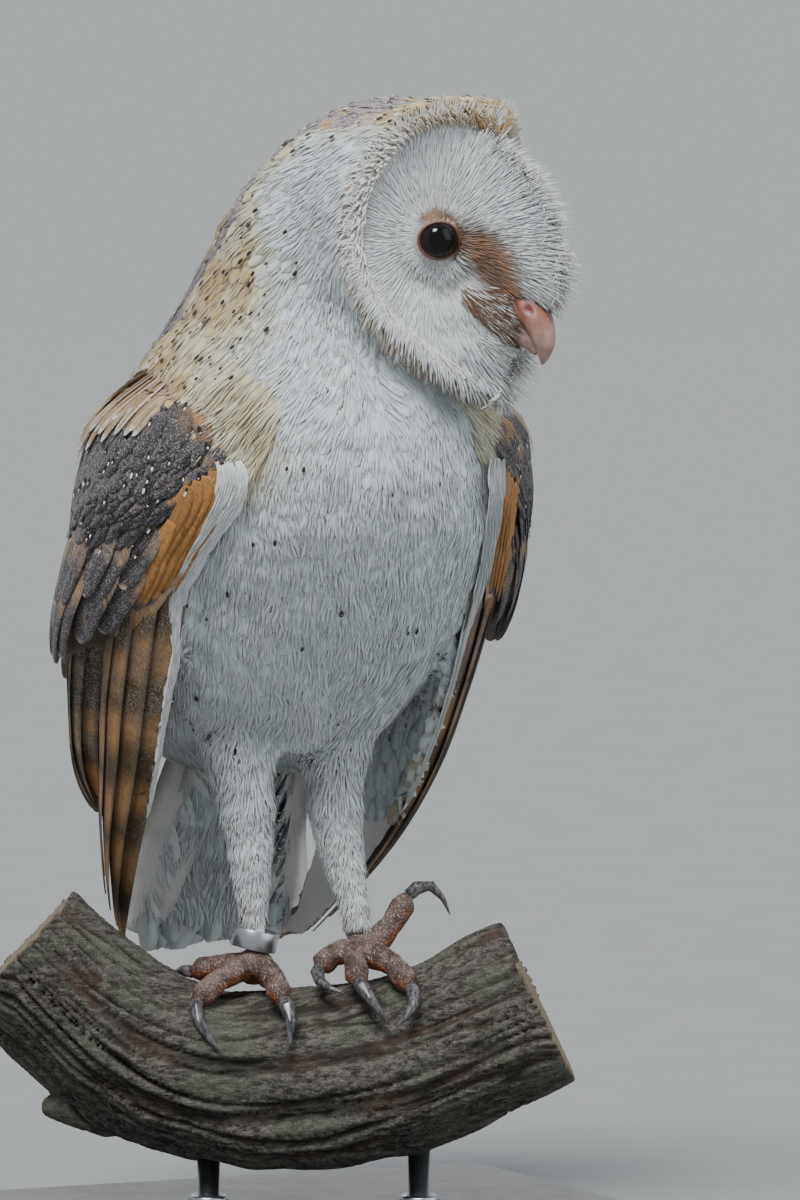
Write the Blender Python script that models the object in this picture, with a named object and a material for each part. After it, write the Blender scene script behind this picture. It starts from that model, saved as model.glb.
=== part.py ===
"""A western barn owl at life size, standing on a cut length of branch on a plain display stand.

The bird faces -Y and its left side is +X. Its head is turned to its left. Every size below is in millimetres,
and the heights of the bird are measured from the level of its soles. The solids reach to the tips of the feathers.
"""

import math

import bmesh
import bpy
from mathutils import Matrix, Vector

MM = 0.001
GAP = 0.3  # clearance between touching pieces

SOLE_HEIGHT = 88.0  # soles above the floor
HEAD_TURN = math.radians(27)  # the face, from straight ahead towards the bird's left
HEAD_POINT = Vector((35.4, -62.3, 263.0))  # midway between the eyes
BRANCH_TURN = math.radians(-25)  # the branch, from the X axis

EYE_RADIUS = 8.4
EYE_SIDE = 16.5  # each eye from the midline of the face
EYE_DEPTH = -3.8  # centre of the eye, along the line of sight from HEAD_POINT
EYE_RISE = -1.0

TALON_RADIUS = 2.7
RING_RADIUS = 8.3
RING_HEIGHT = 7.0

BASE_LENGTH = 216.0
BASE_WIDTH = 168.0
BASE_THICKNESS = 12.0
ROD_RADIUS = 4.0

# height: x and y of the centre, half width, depth to the front, depth to the back
TORSO = (
    (72, 0, 50, 12, 10, 10),
    (80, 0, 42, 36, 34, 24),
    (95, 0, 33, 51, 46, 36),
    (115, 0, 24, 60, 58, 45),
    (140, 0, 13, 66, 68, 50),
    (165, 0, 5, 68, 74, 50),
    (190, 0, 0, 68, 72, 49),
    (212, 1, 0, 67, 65, 50),
    (228, 2, 0, 57, 57, 50),
    (241, 4, -2, 50, 52, 47),
    (266, 8, -12, 45, 46, 45),
    (294, 16, -28, 37, 36, 38),
    (309, 20, -36, 22, 22, 24),
    (313, 20, -36, 8, 8, 8),
)

# height: x and y of the leading edge, of the outermost point and of the trailing edge, thickness,
# and how much higher the leading edge stands
WING_COVERTS = (
    (224, 42, -14, 52, 2, 42, 16, 5, -8),
    (206, 50, -42, 74, -6, 44, 36, 10, -4),
    (180, 45, -55, 83, -4, 36, 49, 12, 0),
    (150, 52, -36, 84, 6, 32, 62, 11, 4),
    (125, 57, -18, 84, 18, 34, 70, 9, 10),
    (106, 64, 2, 81, 26, 48, 60, 5, 16),
)
WING_SECONDARIES = (
    (140, 58, -4, 76, 20, 28, 66, 7, 0),
    (100, 57, 16, 70, 36, 26, 73, 7, 2),
    (76, 54, 29, 64, 46, 28, 77, 6, 5),
    (57, 51, 42, 55, 52, 38, 68, 3, 9),
)
WING_PRIMARIES = (
    (140, 52, -26, 71, -6, 50, 30, 7, 0),
    (110, 53, -10, 68, 12, 48, 46, 7, 0),
    (80, 51, 8, 63, 26, 44, 58, 6, 0),
    (50, 47, 32, 55, 46, 38, 70, 5, 0),
    (25, 41, 56, 45, 66, 33, 80, 3.5, 2),
    (8, 36, 75, 37, 79, 31, 86, 1.6, 4),
)
WING_SPREAD = {"right": 1.03, "left": 0.97}  # the right wing hangs a little further from the body

# height: y of the centre, half width, half thickness
TAIL = (
    (100, 54, 12, 9),
    (72, 63, 20, 11),
    (48, 72, 25, 6.5),
    (18, 83, 31, 2.6),
    (7, 86, 29, 1.4),
)

# angle from straight up, as seen from the front: radius of the disc, outer radius of its ruff,
# radius of the head behind it, how far forward the rim stands
DISC = (
    (0, 36, 46, 51, 11),
    (30, 44, 50, 53, -1),
    (60, 44, 49, 51, -13),
    (90, 41, 46, 47, -18),
    (120, 42, 47, 45, -14),
    (150, 46, 51, 43, -1),
    (180, 54, 58, 40, 13),
)
# height from the eyes: how far forward the crest between the eyes stands
CREST = ((-58, 13), (-46, 18), (-38, 23), (-30, 29), (-22, 39), (-12, 44), (6, 39), (23, 29), (36, 11))

# forward, up, half width, half depth
BILL_UPPER = (
    (17, -22, 4.8, 4.6),
    (24, -25, 6.0, 5.2),
    (28.4, -30, 5.4, 4.6),
    (30.4, -35.5, 4.2, 3.7),
    (30.4, -40, 2.5, 2.3),
    (29.6, -43.5, 0.6, 0.6),
)
BILL_LOWER = (
    (13, -32, 3.6, 2.6),
    (19, -35, 4.4, 2.8),
    (24.5, -39, 3.0, 2.0),
    (27, -41.5, 1.0, 0.8),
)

# x, y, height and radius down each leg
LEG_RIGHT = (
    (-25, 20, 112, 17),
    (-21, 16, 92, 15.5),
    (-17.5, 11, 66, 10.5),
    (-17, 8.5, 40, 7.4),
    (-16.5, 7, 24, 5.2),
    (-16.5, 6, 11, 5.0),
)
LEG_LEFT = (
    (25, 20, 112, 17),
    (20, 17, 92, 15.5),
    (16.5, 12, 66, 10.8),
    (16.5, 2, 40, 7.6),
    (17.5, -5, 26, 5.4),
    (17, -8, 15, 5.2),
)
FOOT_RIGHT = (-18, 2, 8)
FOOT_LEFT = (19, 2, 13)
FOOT_RADIUS = 7.6

# Toes and talons, from each foot: along the branch, across it towards the front, height.
# The knuckle, the end of the toe, the bend of the talon and its point.
TOES_RIGHT = (
    ((-29, 15, 8), (-38, 21, -3), (-40, 30, -7), (-28, 31, -20)),
    ((-10, 16, 9), (-8, 24, -2), (-1, 33, -7), (-7, 32, -21)),
    ((-29, -6, 9), (-40, -8, 5), (-50, -12, 5), (-50, -22, -6)),
    ((-14, -13, 8), (-12, -23, -1), (-12, -34, -4), (-10, -33, -18)),
)
TOES_LEFT = (
    ((16, 14, 14), (19, 23, 4), (22, 33, 1), (30, 31, -10)),
    ((32, 14, 13), (37, 22, 2), (42, 32, -2), (31, 32, -11)),
    ((31, -3, 19), (36, -5, 33), (45, -6, 43), (51, -8, 25)),
    ((9, 6, 15), (5, 12, 8), (1, 20, 4), (14, 26, 1)),
)
TOE_RADII = (4.6, 4.7, 4.0, 4.4, 1.8)

# Branch axis: along, height, radius
BRANCH = ((-100, 14, 27), (-70, -13, 29), (-36, -29, 30), (0, -31, 31), (36, -26, 31), (82, -5, 30))
STUB = ((-34, -42, 14), (-62, -43, 10), (-84, -42, 6), (-92, -41, 3))
ROD_PLACES = (-34, 40)  # each rod, along the branch


def clear_scene():
    for obj in list(bpy.data.objects):
        bpy.data.objects.remove(obj)


def smooth_row(table, at):
    """The columns of a table of (position, values...) at a position, along a smooth curve through its rows."""
    rows = sorted(table)
    at = min(max(at, rows[0][0]), rows[-1][0])
    i = 0
    while i < len(rows) - 2 and at > rows[i + 1][0]:
        i += 1

    def slope(k, column):
        low, high = max(k - 1, 0), min(k + 1, len(rows) - 1)
        return (rows[high][column] - rows[low][column]) / (rows[high][0] - rows[low][0])

    span = rows[i + 1][0] - rows[i][0]
    t = (at - rows[i][0]) / span
    values = []
    for column in range(1, len(rows[0])):
        start, end = rows[i][column], rows[i + 1][column]
        value = start * (2 * t**3 - 3 * t**2 + 1) + end * (3 * t**2 - 2 * t**3)
        value += span * (slope(i, column) * (t**3 - 2 * t**2 + t) + slope(i + 1, column) * (t**3 - t**2))
        values.append(value)
    return values


def steps(first, last, count):
    return [first + (last - first) * i / (count - 1) for i in range(count)]


def material(name, colour, roughness, metallic=0.0):
    made = bpy.data.materials.new(name)
    made.use_nodes = True
    shader = made.node_tree.nodes["Principled BSDF"]
    shader.inputs["Base Color"].default_value = (*colour, 1.0)
    shader.inputs["Roughness"].default_value = roughness
    shader.inputs["Metallic"].default_value = metallic
    return made


def finish_mesh(bm, mesh):
    """Cleans the faces and turns them outwards, and keeps the largest closed piece."""
    bmesh.ops.remove_doubles(bm, verts=bm.verts, dist=0.00002)
    bmesh.ops.dissolve_degenerate(bm, edges=bm.edges, dist=0.00001)
    bmesh.ops.triangulate(bm, faces=bm.faces)
    left = set(bm.verts)
    largest = []
    while left:
        island, front = [], [left.pop()]
        while front:
            vertex = front.pop()
            island.append(vertex)
            for edge in vertex.link_edges:
                other = edge.other_vert(vertex)
                if other in left:
                    left.remove(other)
                    front.append(other)
        largest = max(largest, island, key=len)
    kept = set(largest)
    bmesh.ops.delete(bm, geom=[v for v in bm.verts if v not in kept], context="VERTS")
    bmesh.ops.recalc_face_normals(bm, faces=bm.faces)
    bm.to_mesh(mesh)
    bm.free()
    for polygon in mesh.polygons:
        polygon.use_smooth = True
    mesh.set_sharp_from_angle(angle=math.radians(50))


def loft(name, rings):
    """A closed solid through rings of equal, even counts of points in millimetres, with strips across its ends."""
    bm = bmesh.new()
    loops = [[bm.verts.new(point * MM) for point in ring] for ring in rings]
    count = len(rings[0])
    for low, high in zip(loops, loops[1:]):
        for i in range(count):
            bm.faces.new((low[i], low[(i + 1) % count], high[(i + 1) % count], high[i]))
    for loop in (loops[0], loops[-1]):
        for i in range(count // 2 - 1):
            bm.faces.new((loop[i], loop[i + 1], loop[count - 2 - i], loop[count - 1 - i]))
    mesh = bpy.data.meshes.new(name)
    finish_mesh(bm, mesh)
    obj = bpy.data.objects.new(name, mesh)
    bpy.context.scene.collection.objects.link(obj)
    return obj


def tube(name, stations, count, across=None):
    """A solid along points in millimetres, each (point, half width, half depth), with the width kept along across."""
    rings = []
    for i, (point, half_width, half_depth) in enumerate(stations):
        before, after = stations[max(i - 1, 0)][0], stations[min(i + 1, len(stations) - 1)][0]
        tangent = (after - before).normalized()
        side = across or tangent.cross(Vector((0.31, 0.2, 0.93)))
        side = (side - tangent * side.dot(tangent)).normalized()
        over = tangent.cross(side)
        ring = []
        for k in range(count):
            angle = 2 * math.pi * k / count
            ring.append(point + side * half_width * math.cos(angle) + over * half_depth * math.sin(angle))
        rings.append(ring)
    return loft(name, rings)


def replace_mesh(obj, mesh):
    old = obj.data
    obj.data = mesh
    bpy.data.meshes.remove(old)


def combine(target, other, operation):
    """Unites target with other, or cuts other from it."""
    modifier = target.modifiers.new("combine", "BOOLEAN")
    modifier.operation = operation
    modifier.solver = "EXACT"
    modifier.object = other
    graph = bpy.context.evaluated_depsgraph_get()
    mesh = bpy.data.meshes.new_from_object(target.evaluated_get(graph))
    target.modifiers.remove(modifier)
    bm = bmesh.new()
    bm.from_mesh(mesh)
    finish_mesh(bm, mesh)
    replace_mesh(target, mesh)


def make_room(target, *neighbours):
    """Cuts each neighbour from target, with a clearance all round."""
    for neighbour in neighbours:
        cutter = bpy.data.objects.new("cutter", neighbour.data.copy())
        bpy.context.scene.collection.objects.link(cutter)
        bm = bmesh.new()
        bm.from_mesh(cutter.data)
        bm.normal_update()
        moved = [(v, v.co + v.normal * GAP * MM) for v in bm.verts]
        for vertex, place in moved:
            vertex.co = place
        bm.to_mesh(cutter.data)
        bm.free()
        combine(target, cutter, "DIFFERENCE")
        mesh = cutter.data
        bpy.data.objects.remove(cutter)
        bpy.data.meshes.remove(mesh)


def part_at(whole, point, normal, name):
    """Parts a solid with a thin flat cut. What lies along the normal becomes a new object of the given name."""
    beyond = bpy.data.objects.new(name, whole.data.copy())
    bpy.context.scene.collection.objects.link(beyond)
    direction = Vector(normal).normalized()
    for obj, sign in ((whole, 1), (beyond, -1)):
        bm = bmesh.new()
        bm.from_mesh(obj.data)
        place = (Vector(point) - direction * sign * GAP / 2) * MM
        geometry = list(bm.verts) + list(bm.edges) + list(bm.faces)
        bmesh.ops.bisect_plane(bm, geom=geometry, plane_co=place, plane_no=direction * sign, clear_outer=True)
        bmesh.ops.holes_fill(bm, edges=[edge for edge in bm.edges if edge.is_boundary])
        finish_mesh(bm, obj.data)
    return beyond


def lift(objects, height):
    """Moves the mesh of each object up by a height in millimetres."""
    for obj in objects:
        obj.data.transform(Matrix.Translation((0, 0, height * MM)))


def paint(obj, colour, roughness, metallic=0.0):
    obj.data.materials.clear()
    obj.data.materials.append(material(obj.name, colour, roughness, metallic))


# The head


def head_place(forward, left, up):
    """A point of the head in the frame of the whole bird."""
    ahead = Vector((math.sin(HEAD_TURN), -math.cos(HEAD_TURN), 0))
    aside = Vector((math.cos(HEAD_TURN), math.sin(HEAD_TURN), 0))
    return HEAD_POINT + ahead * forward + aside * left + Vector((0, 0, up))


def face_depth(left, up, share, rim):
    """How far forward the facial disc stands: two dishes with a feathered crest between them."""
    dish = rim * share**2 - 4.0 * (1 - share**2)
    crest = smooth_row(CREST, up)[0]
    width = 10.0 if up > -14 else 8.0
    return dish + max(crest - dish, 0) * math.exp(-((left / width) ** 2)) * (1 - share**6)


def make_head():
    count = 28
    rings = []
    angles = [360 * i / count for i in range(count)]
    rim_rows = [smooth_row(DISC, min(angle, 360 - angle)) for angle in angles]
    for share in (0.08, 0.24, 0.41, 0.58, 0.75, 0.9, 1.0):
        ring = []
        for angle, (disc, _, _, rim) in zip(angles, rim_rows):
            left = disc * share * math.sin(math.radians(angle))
            up = disc * share * math.cos(math.radians(angle))
            ring.append(head_place(face_depth(left, up, share, rim), left, up))
        rings.append(ring)
    rear = -66.0
    for share in (0.0, 0.16, 0.36, 0.6, 0.82, 0.96):
        ring = []
        for angle, (_, ruff, back, rim) in zip(angles, rim_rows):
            forward = rim + 1.5 + (rear - rim) * share
            radius = ruff + (back - ruff) * min(share / 0.3, 1)
            radius *= math.sqrt(max(1 - share**2.6, 0))
            ring.append(head_place(forward, radius * math.sin(math.radians(angle)),
                                   radius * math.cos(math.radians(angle))))
        rings.append(ring)
    return loft("head", rings)


def make_eye(name, side):
    rings = []
    centre = head_place(EYE_DEPTH, side * EYE_SIDE, EYE_RISE)
    for latitude in steps(-75, 75, 7):
        radius = EYE_RADIUS * math.cos(math.radians(latitude))
        height = EYE_RADIUS * math.sin(math.radians(latitude))
        ring = []
        for i in range(10):
            angle = 2 * math.pi * i / 10
            ring.append(centre + Vector((radius * math.cos(angle), radius * math.sin(angle), height)))
        rings.append(ring)
    return loft(name, rings)


def make_bill(name, table, count):
    aside = Vector((math.cos(HEAD_TURN), math.sin(HEAD_TURN), 0))
    stations = [(head_place(forward, 0, up), width, depth) for forward, up, width, depth in table]
    return tube(name, stations, count, aside)


# The trunk, wings and tail


def make_torso():
    rings = []
    for height in (72, 76, 83, 93, 108, 126, 144, 162, 180, 196, 210, 224, 238, 254, 270, 284, 298, 308, 313):
        x, y, half_width, front, back = smooth_row(TORSO, height)
        ring = []
        for i in range(24):
            angle = 2 * math.pi * i / 24
            depth = back if math.sin(angle) > 0 else front
            ring.append(Vector((x + half_width * math.cos(angle), y + depth * math.sin(angle), height)))
        rings.append(ring)
    return loft("trunk", rings)


def make_wing_layer(name, spread, table, ring_count, across):
    """One layer of a folded wing: a curved plate that wraps the flank."""
    rings = []
    for height in steps(table[0][0], table[-1][0], ring_count):
        lead_x, lead_y, out_x, out_y, trail_x, trail_y, thickness, rise = smooth_row(table, height)
        lead, trail = Vector((lead_x, lead_y, height)), Vector((trail_x, trail_y, height))
        bend = Vector((out_x, out_y, height)) * 2 - (lead + trail) / 2
        outer, inner = [], []
        for share in steps(0, 1, across):
            point = lead * (1 - share) ** 2 + bend * 2 * share * (1 - share) + trail * share**2
            along = (bend - lead) * (1 - share) + (trail - bend) * share
            inward = Vector((-along.y, along.x, 0)).normalized()
            depth = thickness * (0.2 + 0.8 * math.sin(math.pi * share))
            point = point + Vector((0, 0, rise * (1 - share)))
            outer.append(point)
            inner.append(point + inward * depth)
        ring = outer + inner[::-1]
        rings.append([Vector((point.x * spread, point.y, point.z)) for point in ring])
    return loft(name, rings)


def make_tail():
    rings = []
    for height in (100, 85, 70, 55, 40, 27, 16, 10, 7):
        y, half_width, half_depth = smooth_row(TAIL, height)
        ring = []
        for i in range(16):
            angle = 2 * math.pi * i / 16
            notch = 3.5 * math.exp(-((math.cos(angle) / 0.3) ** 2)) if height < 12 else 0
            ring.append(Vector((half_width * math.cos(angle), y + half_depth * math.sin(angle), height + notch)))
        rings.append(ring)
    return loft("tail", rings)


# Legs and feet


def branch_place(along, across, height):
    """A point given along the branch, across it towards the front, and by its height."""
    direction = Vector((math.cos(BRANCH_TURN), math.sin(BRANCH_TURN), 0))
    forward = Vector((math.sin(BRANCH_TURN), -math.cos(BRANCH_TURN), 0))
    return direction * along + forward * across + Vector((0, 0, height))


def make_leg(name, table):
    """The whole feathered leg, from inside the belly to the foot."""
    rows = [(-row[2], row[0], row[1], row[3]) for row in table]
    stations = []
    for level in steps(-table[0][2], -table[-1][2], 8):
        x, y, radius = smooth_row(rows, level)
        stations.append((Vector((x, y, -level)), radius, radius))
    return tube(name, stations, 10, Vector((1, 0, 0)))


def make_foot(name, place):
    stations = []
    for share in steps(-0.95, 0.95, 6):
        radius = FOOT_RADIUS * math.sqrt(1 - share**2)
        stations.append((branch_place(place[0], place[1], place[2] + share * FOOT_RADIUS * 0.85), radius, radius))
    return tube(name, stations, 10, Vector((1, 0, 0)))


def bend_point(start, middle, end, share):
    return start * (1 - share) ** 2 + middle * 2 * share * (1 - share) + end * share**2


def make_toe(name, foot, row):
    start = branch_place(*foot)
    knuckle, end = branch_place(*row[0]), branch_place(*row[1])
    stations = []
    for share, radius in zip((0.0, 0.3, 0.58, 0.86, 1.0), TOE_RADII):
        stations.append((bend_point(start, knuckle, end, share), radius, radius))
    return tube(name, stations, 8)


def make_talon(name, row):
    knuckle, start, bend, end = (branch_place(*point) for point in row)
    start = start + (start - knuckle).normalized() * -1.5
    stations = []
    for share, size in ((0.0, 0.9), (0.2, 1.0), (0.5, 0.75), (0.8, 0.4), (1.0, 0.1)):
        radius = TALON_RADIUS * size
        stations.append((bend_point(start, bend, end, share), radius, radius))
    return tube(name, stations, 6)


def make_leg_ring():
    """A thin plain band that hangs round the right leg."""
    tilt = Matrix.Rotation(math.radians(13), 3, Vector((math.sin(BRANCH_TURN), -math.cos(BRANCH_TURN), 0)))
    centre = branch_place(-17.8, -1.0, 17.5)
    profile = ((RING_RADIUS - 1.0, -1), (RING_RADIUS, -1), (RING_RADIUS, 1), (RING_RADIUS - 1.0, 1))
    count = 20
    bm = bmesh.new()
    loops = []
    for radius, level in profile:
        loop = []
        for i in range(count):
            angle = 2 * math.pi * i / count
            offset = Vector((radius * math.cos(angle), radius * math.sin(angle), level * RING_HEIGHT / 2))
            loop.append(bm.verts.new((centre + tilt @ offset) * MM))
        loops.append(loop)
    for low, high in zip(loops, loops[1:] + loops[:1]):
        for i in range(count):
            bm.faces.new((low[i], low[(i + 1) % count], high[(i + 1) % count], high[i]))
    mesh = bpy.data.meshes.new("leg_ring")
    finish_mesh(bm, mesh)
    obj = bpy.data.objects.new("leg_ring", mesh)
    bpy.context.scene.collection.objects.link(obj)
    return obj


# Branch and stand


def make_branch(name, table, count, ring_count, relief):
    """A weathered limb with shallow grooves along it and flat ends, perpendicular to its axis."""
    centres = []
    for along in steps(table[0][0], table[-1][0], ring_count):
        height, radius = smooth_row(table, along)
        centres.append((along, height, radius))
    rings = []
    for i, (along, height, radius) in enumerate(centres):
        before, after = centres[max(i - 1, 0)], centres[min(i + 1, ring_count - 1)]
        lean = math.atan2(after[1] - before[1], after[0] - before[0])
        ring = []
        for k in range(count):
            angle = 2 * math.pi * k / count
            groove = math.sin(3 * angle + along / 34) + 0.7 * math.sin(5 * angle - along / 22 + 1)
            size = radius * (1 + relief * groove)
            up = size * math.cos(angle)
            ring.append(branch_place(along - up * math.sin(lean), size * math.sin(angle), height + up * math.cos(lean)))
        rings.append(ring)
    return loft(name, rings)


def make_base():
    """A flat plate with eased edges, centred on the origin at floor level."""
    half_length, half_width, corner, ease = BASE_LENGTH / 2, BASE_WIDTH / 2, 14.0, 1.5
    rings = []
    for level, inset in ((0, ease), (ease, 0), (BASE_THICKNESS - ease, 0), (BASE_THICKNESS, ease)):
        ring = []
        for quarter in range(4):
            sign_x = 1 if quarter in (0, 3) else -1
            sign_y = 1 if quarter in (0, 1) else -1
            for share in steps(0, 1, 4):
                angle = math.pi / 2 * (quarter + share)
                x = sign_x * (half_length - corner) + (corner - inset) * math.cos(angle)
                y = sign_y * (half_width - corner) + (corner - inset) * math.sin(angle)
                ring.append(Vector((x, y, level)))
        rings.append(ring)
    return loft("stand_base", rings)


def make_rod(name, along):
    bottom = branch_place(along, 0, BASE_THICKNESS + GAP)
    top = branch_place(along, 0, SOLE_HEIGHT - 28)
    return tube(name, [(bottom, ROD_RADIUS, ROD_RADIUS), (top, ROD_RADIUS, ROD_RADIUS)], 16, Vector((1, 0, 0)))


def build_body():
    """Head, neck and trunk in one form."""
    body = make_torso()
    whole_head = make_head()
    combine(body, whole_head, "UNION")
    bpy.data.objects.remove(whole_head)
    return body


def build_face(head):
    """The eyes sit in sockets of the head, and the bill comes out under the crest."""
    eyes = [make_eye("eye_right", -1), make_eye("eye_left", 1)]
    upper = make_bill("bill_upper", BILL_UPPER, 12)
    lower = make_bill("bill_lower", BILL_LOWER, 10)
    make_room(lower, upper)
    make_room(head, *eyes, upper, lower)
    return eyes, [upper, lower]


def build_wing(word, side, body):
    spread = side * WING_SPREAD[word]
    coverts = make_wing_layer(f"wing_{word}_coverts", spread, WING_COVERTS, 9, 6)
    secondaries = make_wing_layer(f"wing_{word}_secondaries", spread, WING_SECONDARIES, 6, 5)
    primaries = make_wing_layer(f"wing_{word}_primaries", spread, WING_PRIMARIES, 7, 5)
    make_room(coverts, body)
    make_room(secondaries, body, coverts)
    make_room(primaries, body, coverts, secondaries)
    return [coverts, secondaries, primaries]


def build_leg(word, table, foot, perch, toe_rows, body, extras):
    """One leg: a feathered thigh, the tarsus, the foot, and four toes with their talons laid on the branch."""
    thigh = make_leg(f"thigh_{word}", table)
    make_room(thigh, body)
    tarsus = part_at(thigh, (0, 0, 66), (0, 0, -1), f"tarsus_{word}")
    pad = make_foot(f"foot_{word}", foot)
    make_room(pad, perch, *extras)
    make_room(tarsus, pad, *extras)
    toes, talons = [], []
    for number, row in enumerate(toe_rows, 1):
        toe = make_toe(f"toe_{word}_{number}", foot, row)
        make_room(toe, pad, perch, tarsus, *toes, *extras)
        toes.append(toe)
    for number, (toe, row) in enumerate(zip(toes, toe_rows), 1):
        talon = make_talon(f"talon_{word}_{number}", row)
        make_room(talon, toe, perch)
        talons.append(talon)
    return [thigh], [tarsus, pad, *toes], talons


def build_perch():
    perch = make_branch("perch", BRANCH, 20, 12, 0.035)
    stub = make_branch("stub", STUB, 8, 4, 0.05)
    combine(perch, stub, "UNION")
    bpy.data.objects.remove(stub)
    return perch


def main():
    clear_scene()
    trunk = build_body()
    right_wing = build_wing("right", -1, trunk)
    left_wing = build_wing("left", 1, trunk)
    tail = make_tail()
    make_room(tail, trunk, *right_wing, *left_wing)
    perch = build_perch()
    ring = make_leg_ring()
    right = build_leg("right", LEG_RIGHT, FOOT_RIGHT, perch, TOES_RIGHT, trunk, [ring])
    left = build_leg("left", LEG_LEFT, FOOT_LEFT, perch, TOES_LEFT, trunk, [])
    neck = part_at(trunk, (0, 0, 222), (0.11, -0.21, 1), "neck")
    head = part_at(neck, (0, 0, 254), (0.27, -0.535, 1), "head")
    eyes, bill = build_face(head)
    rods = [make_rod(f"stand_rod_{number}", along) for number, along in enumerate(ROD_PLACES, 1)]

    white = (0.86, 0.83, 0.78)
    for obj in (trunk, tail, *right[0], *left[0]):
        paint(obj, white, 0.9)
    for obj in (neck, head):
        paint(obj, (0.72, 0.55, 0.34), 0.9)
    for layer, colour in enumerate(((0.24, 0.2, 0.18), (0.42, 0.25, 0.11), (0.5, 0.28, 0.11))):
        paint(right_wing[layer], colour, 0.85)
        paint(left_wing[layer], colour, 0.85)
    for obj in eyes:
        paint(obj, (0.006, 0.005, 0.006), 0.05)
    for obj in bill:
        paint(obj, (0.66, 0.36, 0.3), 0.4)
    for obj in (*right[1], *left[1]):
        paint(obj, (0.45, 0.3, 0.24), 0.7)
    for obj in (*right[2], *left[2]):
        paint(obj, (0.06, 0.05, 0.05), 0.35)
    paint(ring, (0.6, 0.6, 0.6), 0.35, 1.0)
    paint(perch, (0.3, 0.26, 0.22), 0.95)

    lift([trunk, neck, head, tail, perch, ring, *eyes, *bill, *right_wing, *left_wing], SOLE_HEIGHT)
    for group in (*right, *left):
        lift(group, SOLE_HEIGHT)
    for rod in rods:
        make_room(rod, perch)
        paint(rod, (0.55, 0.55, 0.55), 0.3, 1.0)
    paint(make_base(), (0.05, 0.05, 0.05), 0.4)


main()
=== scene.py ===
import itertools
import math

import bmesh
import bpy
import numpy as np
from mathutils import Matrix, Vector
from mathutils.bvhtree import BVHTree


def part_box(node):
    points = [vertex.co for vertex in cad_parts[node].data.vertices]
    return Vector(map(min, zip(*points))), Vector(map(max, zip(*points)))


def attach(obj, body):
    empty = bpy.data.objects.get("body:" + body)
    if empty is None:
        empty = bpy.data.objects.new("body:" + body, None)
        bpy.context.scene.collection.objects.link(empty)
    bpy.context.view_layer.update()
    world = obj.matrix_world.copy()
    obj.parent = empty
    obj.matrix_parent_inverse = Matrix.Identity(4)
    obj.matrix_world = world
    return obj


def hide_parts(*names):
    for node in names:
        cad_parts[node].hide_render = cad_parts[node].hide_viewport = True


# A barn owl on a cut branch, as a life-size museum model. Lengths are in millimetres in the
# bird's own frame (z = 0 at the soles) until a mesh is made, which is in metres above the floor.

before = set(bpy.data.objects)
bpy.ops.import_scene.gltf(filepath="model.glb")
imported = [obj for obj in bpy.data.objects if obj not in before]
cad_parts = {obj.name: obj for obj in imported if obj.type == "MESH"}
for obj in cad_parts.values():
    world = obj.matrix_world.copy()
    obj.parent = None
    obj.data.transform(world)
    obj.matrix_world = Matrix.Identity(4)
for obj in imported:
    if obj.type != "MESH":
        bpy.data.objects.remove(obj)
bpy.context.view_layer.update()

MM = 0.001
SOLE_HEIGHT = 88.0
HEAD_TURN = math.radians(27)
HEAD_POINT = np.array((35.4, -62.3, 263.0))
AHEAD = np.array((math.sin(HEAD_TURN), -math.cos(HEAD_TURN), 0.0))
ASIDE = np.array((math.cos(HEAD_TURN), math.sin(HEAD_TURN), 0.0))
UP = np.array((0.0, 0.0, 1.0))
BRANCH_TURN = math.radians(-25)
BRANCH_ALONG = np.array((math.cos(BRANCH_TURN), math.sin(BRANCH_TURN), 0.0))
BRANCH_ACROSS = np.array((math.sin(BRANCH_TURN), -math.cos(BRANCH_TURN), 0.0))

EYE_RADIUS = 8.3
EYE_SIDE = 16.5
EYE_DEPTH = -3.8
EYE_RISE = -1.0
EYE_OUTWARD = math.radians(37)

# Facial disc: angle from the top, radius of the disc, outer radius of the ruff, and how far
# forward the rim stands.
DISC = ((0, 36, 46, 11), (30, 44, 50, -1), (60, 44, 49, -13), (90, 41, 46, -18),
        (120, 42, 47, -14), (150, 46, 51, -1), (180, 54, 58, 13))
# Axis of the body: height, x, y.
BODY_AXIS = ((0, 0, 42), (95, 0, 33), (140, 0, 13), (165, 0, 5), (190, 0, 0), (228, 2, 0),
             (250, 6, -6), (266, 8, -12), (294, 16, -28), (313, 20, -36))
# Folded wing: height, then x and y of the leading edge, the outermost line and the trailing edge,
# the thickness, and how much higher the leading edge lies.
COVERTS = ((224, 42, -14, 52, 2, 42, 16, 5, -8), (206, 50, -42, 74, -6, 44, 36, 10, -4),
           (180, 45, -55, 83, -4, 36, 49, 12, 0), (150, 52, -36, 84, 6, 32, 62, 11, 4),
           (125, 57, -18, 84, 18, 34, 70, 9, 10), (106, 64, 2, 81, 26, 48, 60, 5, 16))
SECONDARIES = ((140, 58, -4, 76, 20, 28, 66, 7, 0), (100, 57, 16, 70, 36, 26, 73, 7, 2),
               (76, 54, 29, 64, 46, 28, 77, 6, 5), (57, 51, 42, 55, 52, 38, 68, 3, 9))
PRIMARIES = ((140, 52, -26, 71, -6, 50, 30, 7, 0), (110, 53, -10, 68, 12, 48, 46, 7, 0),
             (80, 51, 8, 63, 26, 44, 58, 6, 0), (50, 47, 32, 55, 46, 38, 70, 5, 0),
             (25, 41, 56, 45, 66, 33, 80, 3.5, 2), (8, 36, 75, 37, 79, 31, 86, 1.6, 4))
WING_SPREAD = {"right": -1.03, "left": 0.97}
TAIL = ((100, 54, 12, 9), (72, 63, 20, 11), (48, 72, 25, 6.5), (18, 83, 31, 2.6), (7, 86, 29, 1.4))
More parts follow.
